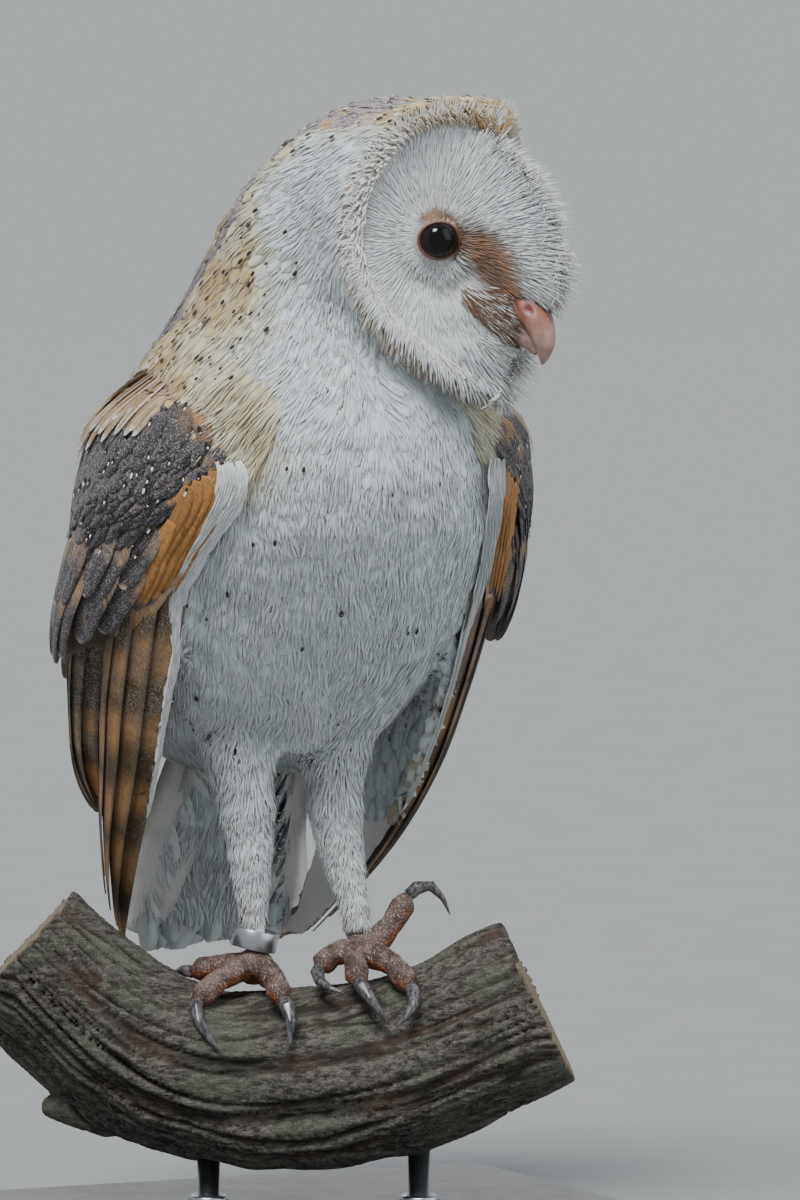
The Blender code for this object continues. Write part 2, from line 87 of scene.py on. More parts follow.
BILL_UPPER = ((17, -22, 4.8, 4.6), (24, -25, 6, 5.2), (28.4, -30, 5.4, 4.6), (30.4, -35.5, 4.2, 3.7),
              (30.4, -40, 2.5, 2.3), (29.6, -43.5, 0.5, 0.5))
BILL_LOWER = ((13, -29, 3.6, 4.4), (19.5, -31.2, 4.4, 4.8), (25, -35.6, 3.2, 3.8), (27.6, -39.8, 1.2, 1.4))
BRANCH = ((-100, 14, 27), (-70, -13, 29), (-36, -29, 30), (0, -31, 31), (36, -26, 31), (82, -5, 30))
RING_PLACE = (-17.8, -1, 17.5)
RING_TILT = math.radians(13)

WHITE = np.array((0.84, 0.84, 0.82))
CREAM = np.array((0.80, 0.74, 0.60))
BUFF = np.array((0.70, 0.54, 0.32))
GOLD = np.array((0.56, 0.34, 0.13))
RUST = np.array((0.33, 0.155, 0.08))
DUSK = np.array((0.10, 0.07, 0.04))

SIDES = ("right", "left")
WINGS = [f"wing_{side}_{layer}" for side in SIDES for layer in ("coverts", "secondaries", "primaries")]
TOES = [f"toe_{side}_{number}" for side in SIDES for number in (1, 2, 3, 4)]
TALONS = [name.replace("toe", "talon") for name in TOES]
LEGS = [f"{part}_{side}" for part in ("thigh", "tarsus") for side in SIDES]
FLESH = ["head", "neck", "trunk", "tail", *LEGS, *WINGS]
# How deep the coat lies over the skin of each node.
COAT_DEPTH = {"head": 2.2, "neck": 3.0, "trunk": 3.2, "tail": 0.9, "thigh": 2.4, "tarsus": 1.5,
              "coverts": 1.9, "secondaries": 1.5, "primaries": 0.8}

rng = np.random.default_rng(7)


# Small helpers


def unit(vectors):
    """The same directions, one long."""
    return vectors / np.maximum(np.linalg.norm(vectors, axis=-1, keepdims=True), 1e-9)


def laid_down(flow, normals, share=1.0):
    """Directions bent down, wholly or by a share, to run along the surface with these normals."""
    return unit(flow - normals * (flow * normals).sum(1, keepdims=True) * share)


def blend(first, second, share):
    """The first value, going over to the second as the share goes from 0 to 1."""
    return first + (second - first) * np.asarray(share)[..., None]


def ease(value):
    """0 to 1, slow at both ends."""
    value = np.clip(value, 0, 1)
    return value * value * (3 - 2 * value)


def jitter(count, spread):
    """Random factors about 1, by up to the spread."""
    return 1 + rng.uniform(-spread, spread, count)


def smooth_rows(table, at):
    """The rows of a table at any values of its first column, on smooth curves between the rows."""
    table = np.array(sorted(table), float)
    keys, values = table[:, 0], table[:, 1:]
    at = np.clip(np.asarray(at, float), keys[0], keys[-1])
    slopes = np.gradient(values, keys, axis=0)
    low = np.clip(np.searchsorted(keys, at, side="right") - 1, 0, len(keys) - 2)
    span = (keys[low + 1] - keys[low])[..., None]
    t = (at - keys[low])[..., None] / span
    return (values[low] * (1 + 2 * t) * (1 - t) ** 2 + slopes[low] * span * t * (1 - t) ** 2
            + values[low + 1] * t**2 * (3 - 2 * t) + slopes[low + 1] * span * t**2 * (t - 1))


def noise(points, seed=0):
    """Smooth noise from -1 to 1 that changes over about one unit."""
    cell = np.floor(points).astype(np.int64)
    part = points - cell
    part = part * part * (3 - 2 * part)
    total = np.zeros(points.shape[:-1])
    for corner in itertools.product((0, 1), repeat=3):
        x, y, z = np.moveaxis(cell + np.array(corner), -1, 0)
        code = (x * 73856093) ^ (y * 19349663) ^ (z * 83492791) ^ (seed * 2654435)
        code = (code ^ (code >> 13)) * 1274126177
        value = ((code >> 8) & 0xFFFF) / 32767.5 - 1
        total += value * np.prod(np.where(np.array(corner) == 1, part, 1 - part), axis=-1)
    return total


def head_axes(points):
    """How far forward, to the bird's left and up from the point between the eyes."""
    offset = points - HEAD_POINT
    return offset @ AHEAD, offset @ ASIDE, offset[..., 2]


def head_place(forward, left, up):
    """The place so far forward, to the bird's left and up from the point between the eyes."""
    forward, left, up = (np.asarray(value, float)[..., None] for value in (forward, left, up))
    return HEAD_POINT + AHEAD * forward + ASIDE * left + UP * up


def disc_row(left, up):
    """Radius of the disc and of the ruff, and the rim's place, in the direction of a point of the face."""
    cosine = up / np.maximum(np.hypot(left, up), 1e-6)
    return smooth_rows(DISC, np.degrees(np.arccos(np.clip(cosine, -1, 1))))


def in_disc(points):
    """Whether places lie on the front of the facial disc or under its ruff."""
    forward, left, up = head_axes(points)
    disc, ruff, rim = np.moveaxis(disc_row(left, up), -1, 0)
    reach = np.hypot(left, up)
    return (reach < disc + 2) & (forward > rim - 6) | (reach < ruff + 4) & (forward > rim - 3)


def eye_frame(side):
    """Line of sight, outward and upward directions and the centre of one eye."""
    axis = AHEAD * math.cos(EYE_OUTWARD) + ASIDE * side * math.sin(EYE_OUTWARD)
    outer = ASIDE * side * math.cos(EYE_OUTWARD) - AHEAD * math.sin(EYE_OUTWARD)
    centre = head_place(EYE_DEPTH, side * EYE_SIDE, EYE_RISE).reshape(3)
    return axis, outer, UP, centre


def from_sight(points):
    """Distance from the nearer eye's line of sight."""
    nearest = np.full(len(points), 99.0)
    for side in (-1, 1):
        axis, _, _, centre = eye_frame(side)
        offset = points - centre
        nearest = np.minimum(nearest, np.linalg.norm(offset - axis * (offset @ axis)[:, None], axis=1))
    return nearest


# Meshes


def placed(name, data):
    """An object of the scene that shows a mesh, light or camera."""
    obj = bpy.data.objects.new(name, data)
    bpy.context.scene.collection.objects.link(obj)
    return obj


def new_object(name, points, polygons, smooth=True):
    """Points in mm and polygons as arrays of equal-sized faces, made into an object."""
    mesh = bpy.data.meshes.new(name)
    mesh.vertices.add(len(points))
    mesh.vertices.foreach_set("co", ((points + UP * SOLE_HEIGHT) * MM).astype(np.float32).ravel())
    loops = np.concatenate([faces.ravel() for faces in polygons]).astype(np.int32)
    sizes = np.concatenate([np.full(len(faces), faces.shape[1]) for faces in polygons])
    mesh.loops.add(len(loops))
    mesh.loops.foreach_set("vertex_index", loops)
    mesh.polygons.add(len(sizes))
    mesh.polygons.foreach_set("loop_start", (np.cumsum(sizes) - sizes).astype(np.int32))
    mesh.update(calc_edges=True)
    mesh.polygons.foreach_set("use_smooth", np.full(len(sizes), smooth))
    return placed(name, mesh)


def mesh_points(obj):
    """The vertices of an object in mm, in the bird's frame."""
    points = np.empty(len(obj.data.vertices) * 3, np.float32)
    obj.data.vertices.foreach_get("co", points)
    return points.reshape(-1, 3).astype(float) / MM - UP * SOLE_HEIGHT


def set_points(obj, points):
    """Moves the vertices of an object to places in mm."""
    obj.data.vertices.foreach_set("co", ((points + UP * SOLE_HEIGHT) * MM).astype(np.float32).ravel())
    obj.data.update()


def mesh_normals(obj):
    """The direction out of the surface at each vertex."""
    normals = np.empty(len(obj.data.vertices) * 3, np.float32)
    obj.data.vertex_normals.foreach_get("vector", normals)
    return normals.reshape(-1, 3).astype(float)


def triangles(obj):
    """The vertices of each triangle of an object."""
    obj.data.calc_loop_triangles()
    faces = np.empty(len(obj.data.loop_triangles) * 3, np.int32)
    obj.data.loop_triangles.foreach_get("vertices", faces)
    return faces.reshape(-1, 3)


def set_attribute(obj, name, values):
    """Values or colours on the vertices, for the material to read."""
    values = np.asarray(values, np.float32)
    if values.ndim == 2:
        attribute = obj.data.attributes.new(name, "FLOAT_COLOR", "POINT")
        values = np.concatenate([values, np.ones((len(values), 1), np.float32)], axis=1)
        attribute.data.foreach_set("color", values.ravel())
    else:
        attribute = obj.data.attributes.new(name, "FLOAT", "POINT")
        attribute.data.foreach_set("value", values)


def dress(obj, material, slot, *replaced):
    """Gives an object its material, hangs it under the body's root and hides the parts that it replaces. The
    slot is not used.
    """
    obj.data.materials.clear()
    obj.data.materials.append(material)
    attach(obj, "root")
    if replaced:
        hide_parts(*replaced)
    return obj


def edges_of(obj):
    """The two vertices of each edge of an object."""
    edges = np.empty(len(obj.data.edges) * 2, np.int32)
    obj.data.edges.foreach_get("vertices", edges)
    return edges.reshape(-1, 2)


def smoothed(values, edges, rounds):
    """Values on the vertices, averaged with their neighbours."""
    count = np.bincount(edges.ravel(), minlength=len(values)).astype(float)
    values = values.astype(float)
    flat = values.reshape(len(values), -1)
    first, second = edges.T
    size = len(flat)
    for _ in range(rounds):
        total = [np.bincount(first, column[second], size) + np.bincount(second, column[first], size)
                 for column in flat.T]
        flat = 0.5 * flat + 0.5 * np.stack(total, axis=1) / np.maximum(count, 1)[:, None]
    return flat.reshape(values.shape)


def remeshed(name, nodes, voxel, swell, rounds):
    """The solids of several nodes grown together into one even mesh."""
    points, faces, start = [], [], 0
    for node in nodes:
        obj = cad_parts[node]
        corner, index = np.unique(np.round(mesh_points(obj), 3), axis=0, return_inverse=True)
        tris = index.reshape(-1)[triangles(obj)]
        tris = tris[(tris[:, 0] != tris[:, 1]) & (tris[:, 1] != tris[:, 2]) & (tris[:, 0] != tris[:, 2])]
        across = np.cross(corner[tris[:, 1]] - corner[tris[:, 0]], corner[tris[:, 2]] - corner[tris[:, 0]])
        normals = np.zeros_like(corner)
        for k in range(3):
            np.add.at(normals, tris[:, k], across)
        points.append(corner + unit(normals) * swell)
        faces.append(tris + start)
        start += len(corner)
    rough = new_object(name + "_rough", np.concatenate(points), [np.concatenate(faces)])
    remesh = rough.modifiers.new("remesh", "REMESH")
    remesh.mode = "VOXEL"
    remesh.voxel_size = voxel * MM
    graph = bpy.context.evaluated_depsgraph_get()
    mesh = bpy.data.meshes.new_from_object(rough.evaluated_get(graph))
    bpy.data.objects.remove(rough)
    obj = placed(name, mesh)
    mesh.name = name
    keep_main_shells(obj)
    set_points(obj, smoothed(mesh_points(obj), edges_of(obj), rounds))
    mesh.polygons.foreach_set("use_smooth", np.full(len(mesh.polygons), True))
    return obj


def keep_main_shells(obj, least=400):
    """Removes the specks of fewer vertices than least that the remesh leaves inside."""
    bm = bmesh.new()
    bm.from_mesh(obj.data)
    seen, doomed = set(), []
    for vertex in bm.verts:
        if vertex in seen:
            continue
        shell, reached = [vertex], [vertex]
        seen.add(vertex)
        while reached:
            for edge in reached.pop().link_edges:
                for other in edge.verts:
                    if other not in seen:
                        seen.add(other)
                        shell.append(other)
                        reached.append(other)
        if len(shell) < least:
            doomed += shell
    bmesh.ops.delete(bm, geom=doomed, context="VERTS")
    bm.to_mesh(obj.data)
    bm.free()


def grid(rows, columns, start=0):
    """The numbers of the vertices of equal rings, one ring in each row."""
    return start + np.arange(rows * columns).reshape(rows, columns)


def wall(index, closed=False):
    """Quads from ring to ring of a grid, and from the last ring to the first if it is closed."""
    low = index if closed else index[:-1]
    high = np.roll(index, -1, 0) if closed else index[1:]
    return np.stack([low, np.roll(low, -1, 1), np.roll(high, -1, 1), high], -1).reshape(-1, 4)


def loft(name, rings, material, slot, *replaced):
    """Closed skin over equal rings, with both ends closed."""
    rings = np.asarray(rings)
    index = grid(*rings.shape[:2])
    obj = new_object(name, rings.reshape(-1, 3), [wall(index), index[:1, ::-1], index[-1:]])
    outward_faces(obj)
    return dress(obj, material, slot, *replaced)


def outward_faces(obj):
    """Turns every face of a closed mesh to look outward."""
    bm = bmesh.new()
    bm.from_mesh(obj.data)
    bmesh.ops.recalc_face_normals(bm, faces=bm.faces)
    bm.to_mesh(obj.data)
    bm.free()


# Materials


class Nodes:
    """A material's node tree, with short calls to add to it."""

    def __init__(self, name):
        self.material = bpy.data.materials.new(name)
        self.material.use_nodes = True
        self.tree = self.material.node_tree
        self.shader = self.tree.nodes["Principled BSDF"]

    def node(self, kind, **settings):
        made = self.tree.nodes.new(kind)
        for key, value in settings.items():
            setattr(made, key, value)
        return made

    def link(self, source, target):
        self.tree.links.new(source, target)

    def read(self, name, output="Fac"):
        return self.node("ShaderNodeAttribute", attribute_name=name).outputs[output]

    def math(self, operation, first, second=None):
        made = self.node("ShaderNodeMath", operation=operation)
        for socket, value in zip(made.inputs, (first, second)):
            if value is None:
                continue
            if isinstance(value, (int, float)):
                socket.default_value = value
            else:
                self.link(value, socket)
        return made.outputs[0]

    def times(self, first, second):
        return self.math("MULTIPLY", first, second)

    def plus(self, first, second):
        return self.math("ADD", first, second)

    def span(self, value, low, high, first=0.0, last=1.0):
        """Goes from first to last as the value goes from low to high."""
        made = self.node("ShaderNodeMapRange", interpolation_type="SMOOTHSTEP")
        self.link(value, made.inputs["Value"])
        for name, number in (("From Min", low), ("From Max", high), ("To Min", first), ("To Max", last)):
            made.inputs[name].default_value = number
        return made.outputs["Result"]

    def mix(self, share, first, second, kind="MIX"):
        made = self.node("ShaderNodeMix", data_type="RGBA", blend_type=kind)
        sockets = [made.inputs[0], made.inputs[6], made.inputs[7]]
        for socket, value in zip(sockets, (share, first, second)):
            if isinstance(value, (int, float)):
                socket.default_value = value
            elif isinstance(value, (tuple, list, np.ndarray)):
                socket.default_value = (*[float(v) for v in value], 1.0)
            else:
                self.link(value, socket)
        return made.outputs[2]

    def place(self, scale=(1, 1, 1), turn=(0, 0, 0)):
        """The object's own coordinates in mm, turned and stretched."""
        coordinates = self.node("ShaderNodeTexCoord").outputs["Object"]
        made = self.node("ShaderNodeMapping")
        made.inputs["Rotation"].default_value = turn
        made.inputs["Scale"].default_value = [1000 * s for s in scale]
        self.link(coordinates, made.inputs["Vector"])
        return made.outputs["Vector"]

    def strands(self, across, along, shift):
        """Coordinates across and along each feather, shifted a little from feather to feather."""
        lay = self.node("ShaderNodeCombineXYZ")
        self.link(across, lay.inputs["X"])
        self.link(along, lay.inputs["Y"])
        moved = self.node("ShaderNodeVectorMath", operation="ADD")
        self.link(lay.outputs[0], moved.inputs[0])
        self.link(self.place((shift, shift, shift)), moved.inputs[1])
        return moved.outputs[0]

    def noise(self, scale, place=None, detail=3.0, rough=0.5):
        made = self.node("ShaderNodeTexNoise")
        made.inputs["Scale"].default_value = scale
        made.inputs["Detail"].default_value = detail
        made.inputs["Roughness"].default_value = rough
        self.link(place or self.place(), made.inputs["Vector"])
        return made.outputs["Fac"]

    def cells(self, scale, place=None, feature="F1", output="Distance"):
        made = self.node("ShaderNodeTexVoronoi", feature=feature)
        made.inputs["Scale"].default_value = scale
        self.link(place or self.place(), made.inputs["Vector"])
        return made.outputs[output]

    def bump(self, height, strength, distance):
        made = self.node("ShaderNodeBump")
        made.inputs["Strength"].default_value = strength
        made.inputs["Distance"].default_value = distance * MM
        self.link(height, made.inputs["Height"])
        self.link(made.outputs["Normal"], self.shader.inputs["Normal"])

    def finish(self, colour, roughness, **settings):
        """Colour and roughness may be sockets. Other settings are numbers on the shader itself."""
        for name, value in (("Base Color", colour), ("Roughness", roughness)):
            socket = self.shader.inputs[name]
            if isinstance(value, (int, float)):
                socket.default_value = value
            elif isinstance(value, (tuple, list)):
                socket.default_value = (*value, 1.0)
            else:
                self.link(value, socket)
        for name, value in settings.items():
            self.shader.inputs[name.replace("_", " ").title().replace("Ior", "IOR")].default_value = value
        return self.material


def plumage_material(name, roughness, sheen, barbs, dark, pale, paleness):
    """Feathers: the tint that each vertex carries, grey vermiculation and the comb of barbs."""
    n = Nodes(name)
    tint = n.read("tint", "Color")
    pepper = n.read("pepper")
    fine = n.noise(1.7, detail=2.0, rough=0.7)
    coarse = n.noise(0.30, detail=3.0)
    grey = n.mix(n.span(fine, paleness, paleness + 0.13), dark, pale)
    cover = n.times(pepper, n.span(coarse, 0.28, 0.46, 0.6, 1.0))
    edge = n.plus(cover, n.times(n.math("SUBTRACT", fine, 0.5), 1.5))
    colour = n.mix(n.times(n.span(edge, 0.36, 0.60), n.span(pepper, 0.02, 0.1)), tint, grey)
    across = n.read("across")
    slant = n.plus(n.read("along"), n.times(n.math("ABSOLUTE", across), 1.3))
    wobble = n.times(n.noise(0.8, detail=1.0), 2.2)
    comb = n.math("SINE", n.times(n.plus(slant, wobble), barbs))
    comb = n.span(comb, -1.0, 1.0)
    colour = n.mix(n.span(comb, 0.0, 0.5, 0.30, 0.0), colour, (0.36, 0.33, 0.31), "MULTIPLY")
    slantwise = n.times(n.plus(across, n.times(slant, 0.4)), 1.6)
    lay = n.strands(slantwise, n.times(n.read("along"), 0.35), 0.15)
    streak = n.noise(1.6, lay, detail=3.0, rough=0.65)
    channels = n.node("ShaderNodeSeparateColor")
    n.link(tint, channels.inputs[0])
    deepness = n.span(channels.outputs[1], 0.40, 0.78, 1.0, 0.2)
    dirt = n.times(n.span(streak, 0.34, 0.58, 0.65, 0.0), deepness)
    colour = n.mix(dirt, colour, (0.50, 0.44, 0.40), "MULTIPLY")
    n.bump(n.plus(comb, n.plus(fine, streak)), 0.45, 0.14)
    return n.finish(colour, roughness, sheen_weight=sheen, sheen_roughness=0.5, specular_ior_level=0.2)


def hair_material(name):
    """Fine down and bristles: the tint with streaks that run along each lock, like its single hairs."""
    n = Nodes(name)
    tint = n.read("tint", "Color")
    across = n.times(n.read("across"), 2.6)
    along = n.times(n.read("along"), 0.14)
    hairs = n.noise(1.5, n.strands(across, along, 0.12), detail=2.0, rough=0.6)
    streak = n.span(hairs, 0.36, 0.62, 0.22, 0.0)
    colour = n.mix(streak, tint, (0.70, 0.70, 0.71), "MULTIPLY")
    n.bump(hairs, 0.3, 0.2)
    return n.finish(colour, 0.8, sheen_weight=0.25, sheen_roughness=0.5, specular_ior_level=0.1,
                    subsurface_weight=0.3, subsurface_scale=0.003)


def skin_material():
    """The ground under the feathers, with the same markings, painted shade under the wings, and a soft grain.
    """
    n = Nodes("skin_plumage")
    tint = n.read("tint", "Color")
    pepper = n.read("pepper")
    fine = n.noise(1.3, detail=3.0)
    grey = n.mix(n.span(fine, 0.4, 0.6), (0.11, 0.10, 0.115), (0.28, 0.26, 0.27))
    colour = n.mix(n.times(pepper, n.span(fine, 0.3, 0.5)), tint, grey)
    n.bump(n.noise(1.6, n.place((1, 1, 0.25)), detail=4.0), 0.5, 0.4)
    return n.finish(colour, 0.8, sheen_weight=0.3, specular_ior_level=0.2)


def foot_material():
    """Scaly skin: small raised scales, paler on top, rust on the pads."""
    n = Nodes("scaly_skin")
    gap = n.cells(0.75, feature="DISTANCE_TO_EDGE")
    scale = n.span(gap, 0.02, 0.22)
    patch = n.noise(0.22, detail=3.0)
    pad = n.read("pad")
    skin = n.mix(n.span(patch, 0.35, 0.65), (0.085, 0.056, 0.048), (0.20, 0.15, 0.135))
    skin = n.mix(n.times(pad, n.span(patch, 0.25, 0.55, 0.5, 1.0)), skin, (0.37, 0.125, 0.034))
    colour = n.mix(n.span(scale, 0.0, 1.0, 0.7, 0.0), skin, (0.34, 0.22, 0.18), "MULTIPLY")
    n.bump(scale, 0.6, 0.35)
    return n.finish(colour, n.span(patch, 0.3, 0.7, 0.42, 0.6), specular_ior_level=0.45)


def talon_material():
    """Slate-grey horn with streaks along the claw."""
    n = Nodes("slate_horn")
    streak = n.noise(0.8, n.place((1, 1, 0.3)), detail=4.0)
    colour = n.mix(n.span(streak, 0.35, 0.7), (0.030, 0.030, 0.034), (0.12, 0.115, 0.12))
    n.bump(streak, 0.25, 0.1)
    return n.finish(colour, n.span(streak, 0.3, 0.7, 0.22, 0.42), coat_weight=0.25, coat_roughness=0.2)


def bill_material():
    """Flesh-coloured horn, redder over the cere and in the nostril."""
    n = Nodes("bill_horn")
    share = n.read("share")
    patch = n.noise(0.35, detail=4.0)
    warm = n.mix(n.span(patch, 0.3, 0.7), (0.22, 0.075, 0.050), (0.32, 0.13, 0.09))
    horn = n.mix(n.span(patch, 0.3, 0.7), (0.27, 0.155, 0.135), (0.37, 0.235, 0.205))
    colour = n.mix(n.span(share, 0.30, 0.60), warm, horn)
    colour = n.mix(n.span(share, 0.8, 1.0, 0.0, 0.6), colour, (0.30, 0.21, 0.18))
    colour = n.mix(n.read("nostril"), colour, (0.17, 0.018, 0.012))
    n.bump(n.noise(1.2, detail=4.0), 0.15, 0.1)
    return n.finish(colour, n.span(patch, 0.3, 0.7, 0.38, 0.5), coat_weight=0.1, coat_roughness=0.3,
                    subsurface_weight=0.1, subsurface_scale=0.002)


def lid_material():
    """Dark rim of the lids, brown outside it, pink flesh in the front corner, and pale down beyond."""
    n = Nodes("lid_skin")
    crease = n.noise(1.6, detail=4.0)
    brown = n.mix(n.span(crease, 0.3, 0.7), (0.15, 0.075, 0.055), (0.30, 0.16, 0.12))
    pink = n.mix(n.span(crease, 0.3, 0.7), (0.45, 0.16, 0.13), (0.62, 0.30, 0.25))
    colour = n.mix(n.read("corner"), brown, pink)
    colour = n.mix(n.read("margin"), colour, (0.09, 0.035, 0.03))
    down = n.mix(n.span(crease, 0.3, 0.7), (0.62, 0.60, 0.58), (0.82, 0.81, 0.80))
    colour = n.mix(n.read("downy"), colour, down)
    n.bump(crease, 0.5, 0.25)
    return n.finish(colour, 0.5)


def eye_material():
    """A dark brown iris that barely shows round the pupil, under a wet cornea."""
    n = Nodes("dark_eye")
    ray = n.noise(2.4, detail=5.0)
    iris = n.mix(n.span(ray, 0.3, 0.7), (0.004, 0.003, 0.003), (0.016, 0.010, 0.009))
    colour = n.mix(n.read("pupil"), iris, (0.001, 0.001, 0.002))
    return n.finish(colour, 0.03, specular_ior_level=0.32)


def wood_material():
    """Weathered branch: grey ridges, dark splits and painted shade darkening every groove by its depth,
    reddish heartwood where it has opened, a little green.
    """
    n = Nodes("weathered_wood")
    turn = (0, 0, -BRANCH_TURN)
    lines = n.noise(1.0, n.place((0.035, 0.55, 0.55), turn), detail=6.0, rough=0.65)
    grain = n.noise(1.0, n.place((0.12, 1.9, 1.9), turn), detail=4.0, rough=0.7)
    patch = n.noise(0.045, detail=3.0)
    speck = n.noise(1.4, detail=2.0)
    colour = n.mix(n.span(lines, 0.34, 0.66), (0.030, 0.027, 0.023), (0.165, 0.158, 0.142))
    colour = n.mix(n.span(grain, 0.36, 0.62, 0.75, 0.0), colour, (0.42, 0.38, 0.34), "MULTIPLY")
    colour = n.mix(n.span(patch, 0.48, 0.68, 0.0, 0.55), colour, (0.105, 0.118, 0.088))
    colour = n.mix(n.span(speck, 0.60, 0.72, 0.0, 0.5), colour, (0.32, 0.315, 0.29))
    # The grooves are darkened by their depth: partly the dark wood of the splits, partly painted shade.
    groove = n.read("groove")
    split = n.mix(n.span(patch, 0.3, 0.6), (0.072, 0.044, 0.032), (0.026, 0.022, 0.019))
    colour = n.mix(n.span(groove, 0.35, 0.9, 0.0, 0.92), colour, split)
    ring = n.plus(n.read("radius"), n.times(n.noise(0.12), 5.0))
    rings = n.math("SINE", n.times(ring, 2.6))
    sawn = n.mix(n.span(rings, -0.6, 0.9), (0.19, 0.150, 0.105), (0.29, 0.240, 0.175))
    sawn = n.mix(n.span(grain, 0.35, 0.6, 0.6, 0.0), sawn, (0.45, 0.38, 0.32), "MULTIPLY")
    colour = n.mix(n.read("end_grain"), colour, sawn)
    n.bump(n.plus(lines, n.times(grain, 0.6)), 1.0, 1.1)
    return n.finish(colour, n.span(grain, 0.3, 0.7, 0.72, 0.95), specular_ior_level=0.25)


def steel_material(name, turn=(0, 0, 0), stretch=(0.2, 0.2, 6.0)):
    """Brushed steel, a little worn."""
    n = Nodes(name)
    brush = n.noise(1.0, n.place(stretch, turn), detail=4.0, rough=0.7)
    wear = n.noise(0.3, detail=4.0)
    colour = n.mix(n.span(brush, 0.3, 0.7), (0.40, 0.42, 0.45), (0.58, 0.60, 0.63))
    colour = n.mix(n.span(wear, 0.5, 0.7, 0.0, 0.2), colour, (0.30, 0.30, 0.31))
    n.bump(brush, 0.2, 0.05)
    return n.finish(colour, n.span(wear, 0.3, 0.7, 0.28, 0.36), metallic=1.0)


def base_material():
    """Satin dark paint with a fine orange-peel surface and a little dust."""
    n = Nodes("satin_paint")
    peel = n.noise(0.9, detail=3.0)
    dust = n.noise(0.05, detail=5.0, rough=0.7)
    colour = n.mix(n.span(dust, 0.4, 0.7, 0.0, 0.35), (0.045, 0.047, 0.050), (0.12, 0.12, 0.12))
    n.bump(peel, 0.12, 0.08)
    return n.finish(colour, n.span(dust, 0.3, 0.7, 0.34, 0.5), coat_weight=0.15, coat_roughness=0.4)


def floor_material():
    """Plain pale floor that the backdrop runs into."""
    n = Nodes("pale_floor")
    tone = n.noise(0.02, detail=2.0)
    colour = n.mix(n.span(tone, 0.3, 0.7), (0.274, 0.285, 0.291), (0.280, 0.291, 0.297))
    return n.finish(colour, 0.9, specular_ior_level=0.0)


# Markings


def marks(points):
    """Tint of the coat, share of grey vermiculation and chance of a spot, at places on the body."""
    forward, left, up = head_axes(points)
    height = points[:, 2]
    axis = smooth_rows(BODY_AXIS, height)
    front = np.interp(height, (190, 215, 270), (0, 18, 27))
    around = np.degrees(np.arctan2(points[:, 0] - axis[:, 0], axis[:, 1] - points[:, 1])) - front
    around = np.abs((around + 180) % 360 - 180) + noise(points / 13) * 12 + noise(points / 5, 3) * 9
    levels = (90, 150, 190, 212, 235, 260, 285, 305)
    buff_from = np.interp(height, levels, (118, 106, 78, 46, 50, 62, 82, 84))
    grey_from = np.interp(height, levels, (146, 124, 112, 108, 102, 98, 100, 102))
    buff = ease((around - buff_from) / 34)
    grey = ease((around - grey_from) / 14)
    rim = disc_row(left, up)[:, 2]
    on_head = ease((height - 268) / 10)
    behind = rim - forward
    crown = on_head * ease((up - 24) / 14) * ease((36 - np.abs(left)) / 10)
    buff = np.maximum(buff, crown * 0.9)
    grey = np.maximum(grey, crown * ease((behind - 5 + noise(points / 6, 5) * 5) / 6))
    legs = ease((104 - height) / 14) * (points[:, 1] < 48)
    buff, grey = buff * (1 - legs), grey * (1 - legs)
    patch = ease(0.5 + noise(points / 8, 8) * 1.1)
    deep = blend(BUFF * np.array((0.98, 0.92, 0.82)), GOLD, np.clip(patch * 0.6 + grey * 0.3, 0, 1))
    tint = blend(blend(WHITE, CREAM, ease(buff * 2.2)), deep, ease(buff * 1.3 - 0.2) * (0.5 + 0.5 * patch))
    ground = blend(np.array((0.27, 0.25, 0.265)), np.array((0.40, 0.37, 0.38)), ease((height - 268) / 14))
    tint = blend(tint, ground, grey * (0.2 + 0.35 * (1 - patch)))
    wrist = np.exp(-(np.linalg.norm(points - np.array((-45, -45, 193)), axis=1) / 16) ** 4)
    tint = blend(tint, CREAM * np.array((1.0, 0.90, 0.64)), wrist * (0.55 + 0.45 * patch))
    spots = 0.55 * ease(buff * 1.6 - 0.1) + 0.12 * (buff > 0.02)
    return tint, grey, spots


def face_marks(points):
    """White face, with a rust patch between each eye and the bill, and a warm rim round the eyes."""
    forward, left, up = head_axes(points)
    side = np.abs(left)
    lean = (forward - 8.8 + 0.38 * (up + 2)) / np.interp(up, (-22, -10, 0), (5.4, 8.6, 8.2))
    tear = 1.25 * np.exp(-(lean**2) - (np.abs(up + 8) / 12) ** 3) * ease((17 - side) / 4)
    gape = np.exp(-(((side - 5.5) / 4.0) ** 2) - ((up + 25) / 6.5) ** 2) * 0.9
    sight = from_sight(points)
    rim = 0.5 * ease((8.8 - sight) / 1.0) + 0.5 * ease((9.5 - sight) / 0.9) * ease((up - 3.0) / 3)
    rust = np.clip(tear + gape + rim + noise(points / 3, 12) * 0.10, 0, 1)
    brown = blend(RUST, np.array((0.18, 0.10, 0.065)), ease(0.5 + noise(points / 4, 13)))
    tint = WHITE * 1.08 + (brown - WHITE * 1.08) * ease(rust * 1.05 - 0.08)[:, None]
    shade = ease(noise(points / 7, 11) * 0.8 + 0.2) * 0.05
    return blend(tint, np.array((0.62, 0.62, 0.68)), shade)


def covert_marks(places, share):
    """Slate over most of the wing, orange along its front, gold at the wrist and the upper back."""
    height = places[..., 2]
    blotch = noise(places / 8, 31) + 0.6 * noise(places / 3.5, 32)
    strip = ease((0.125 - share + blotch * 0.025) / 0.03)
    strip = strip * ease((184 - height) / 8) * ease((height - 136) / 8) * 1.1
    wrist = ease((0.12 - share) / 0.07) * ease((height - 188) / 6) * 0.6
    upper = ease((share - 0.36) / 0.1) * ease((height - 192) / 10) * 0.7
    loose = ease((blotch - 0.5) / 0.2) * 0.6
    gold = np.clip(strip + wrist + upper + loose, 0, 1)
    orange = np.array((0.40, 0.205, 0.068)) + 0 * gold[..., None]
    tint = blend(orange, BUFF * 0.75, np.clip(upper + loose * 0.6, 0, 1))
    return tint, np.clip(1.15 - gold, 0.06, 1)


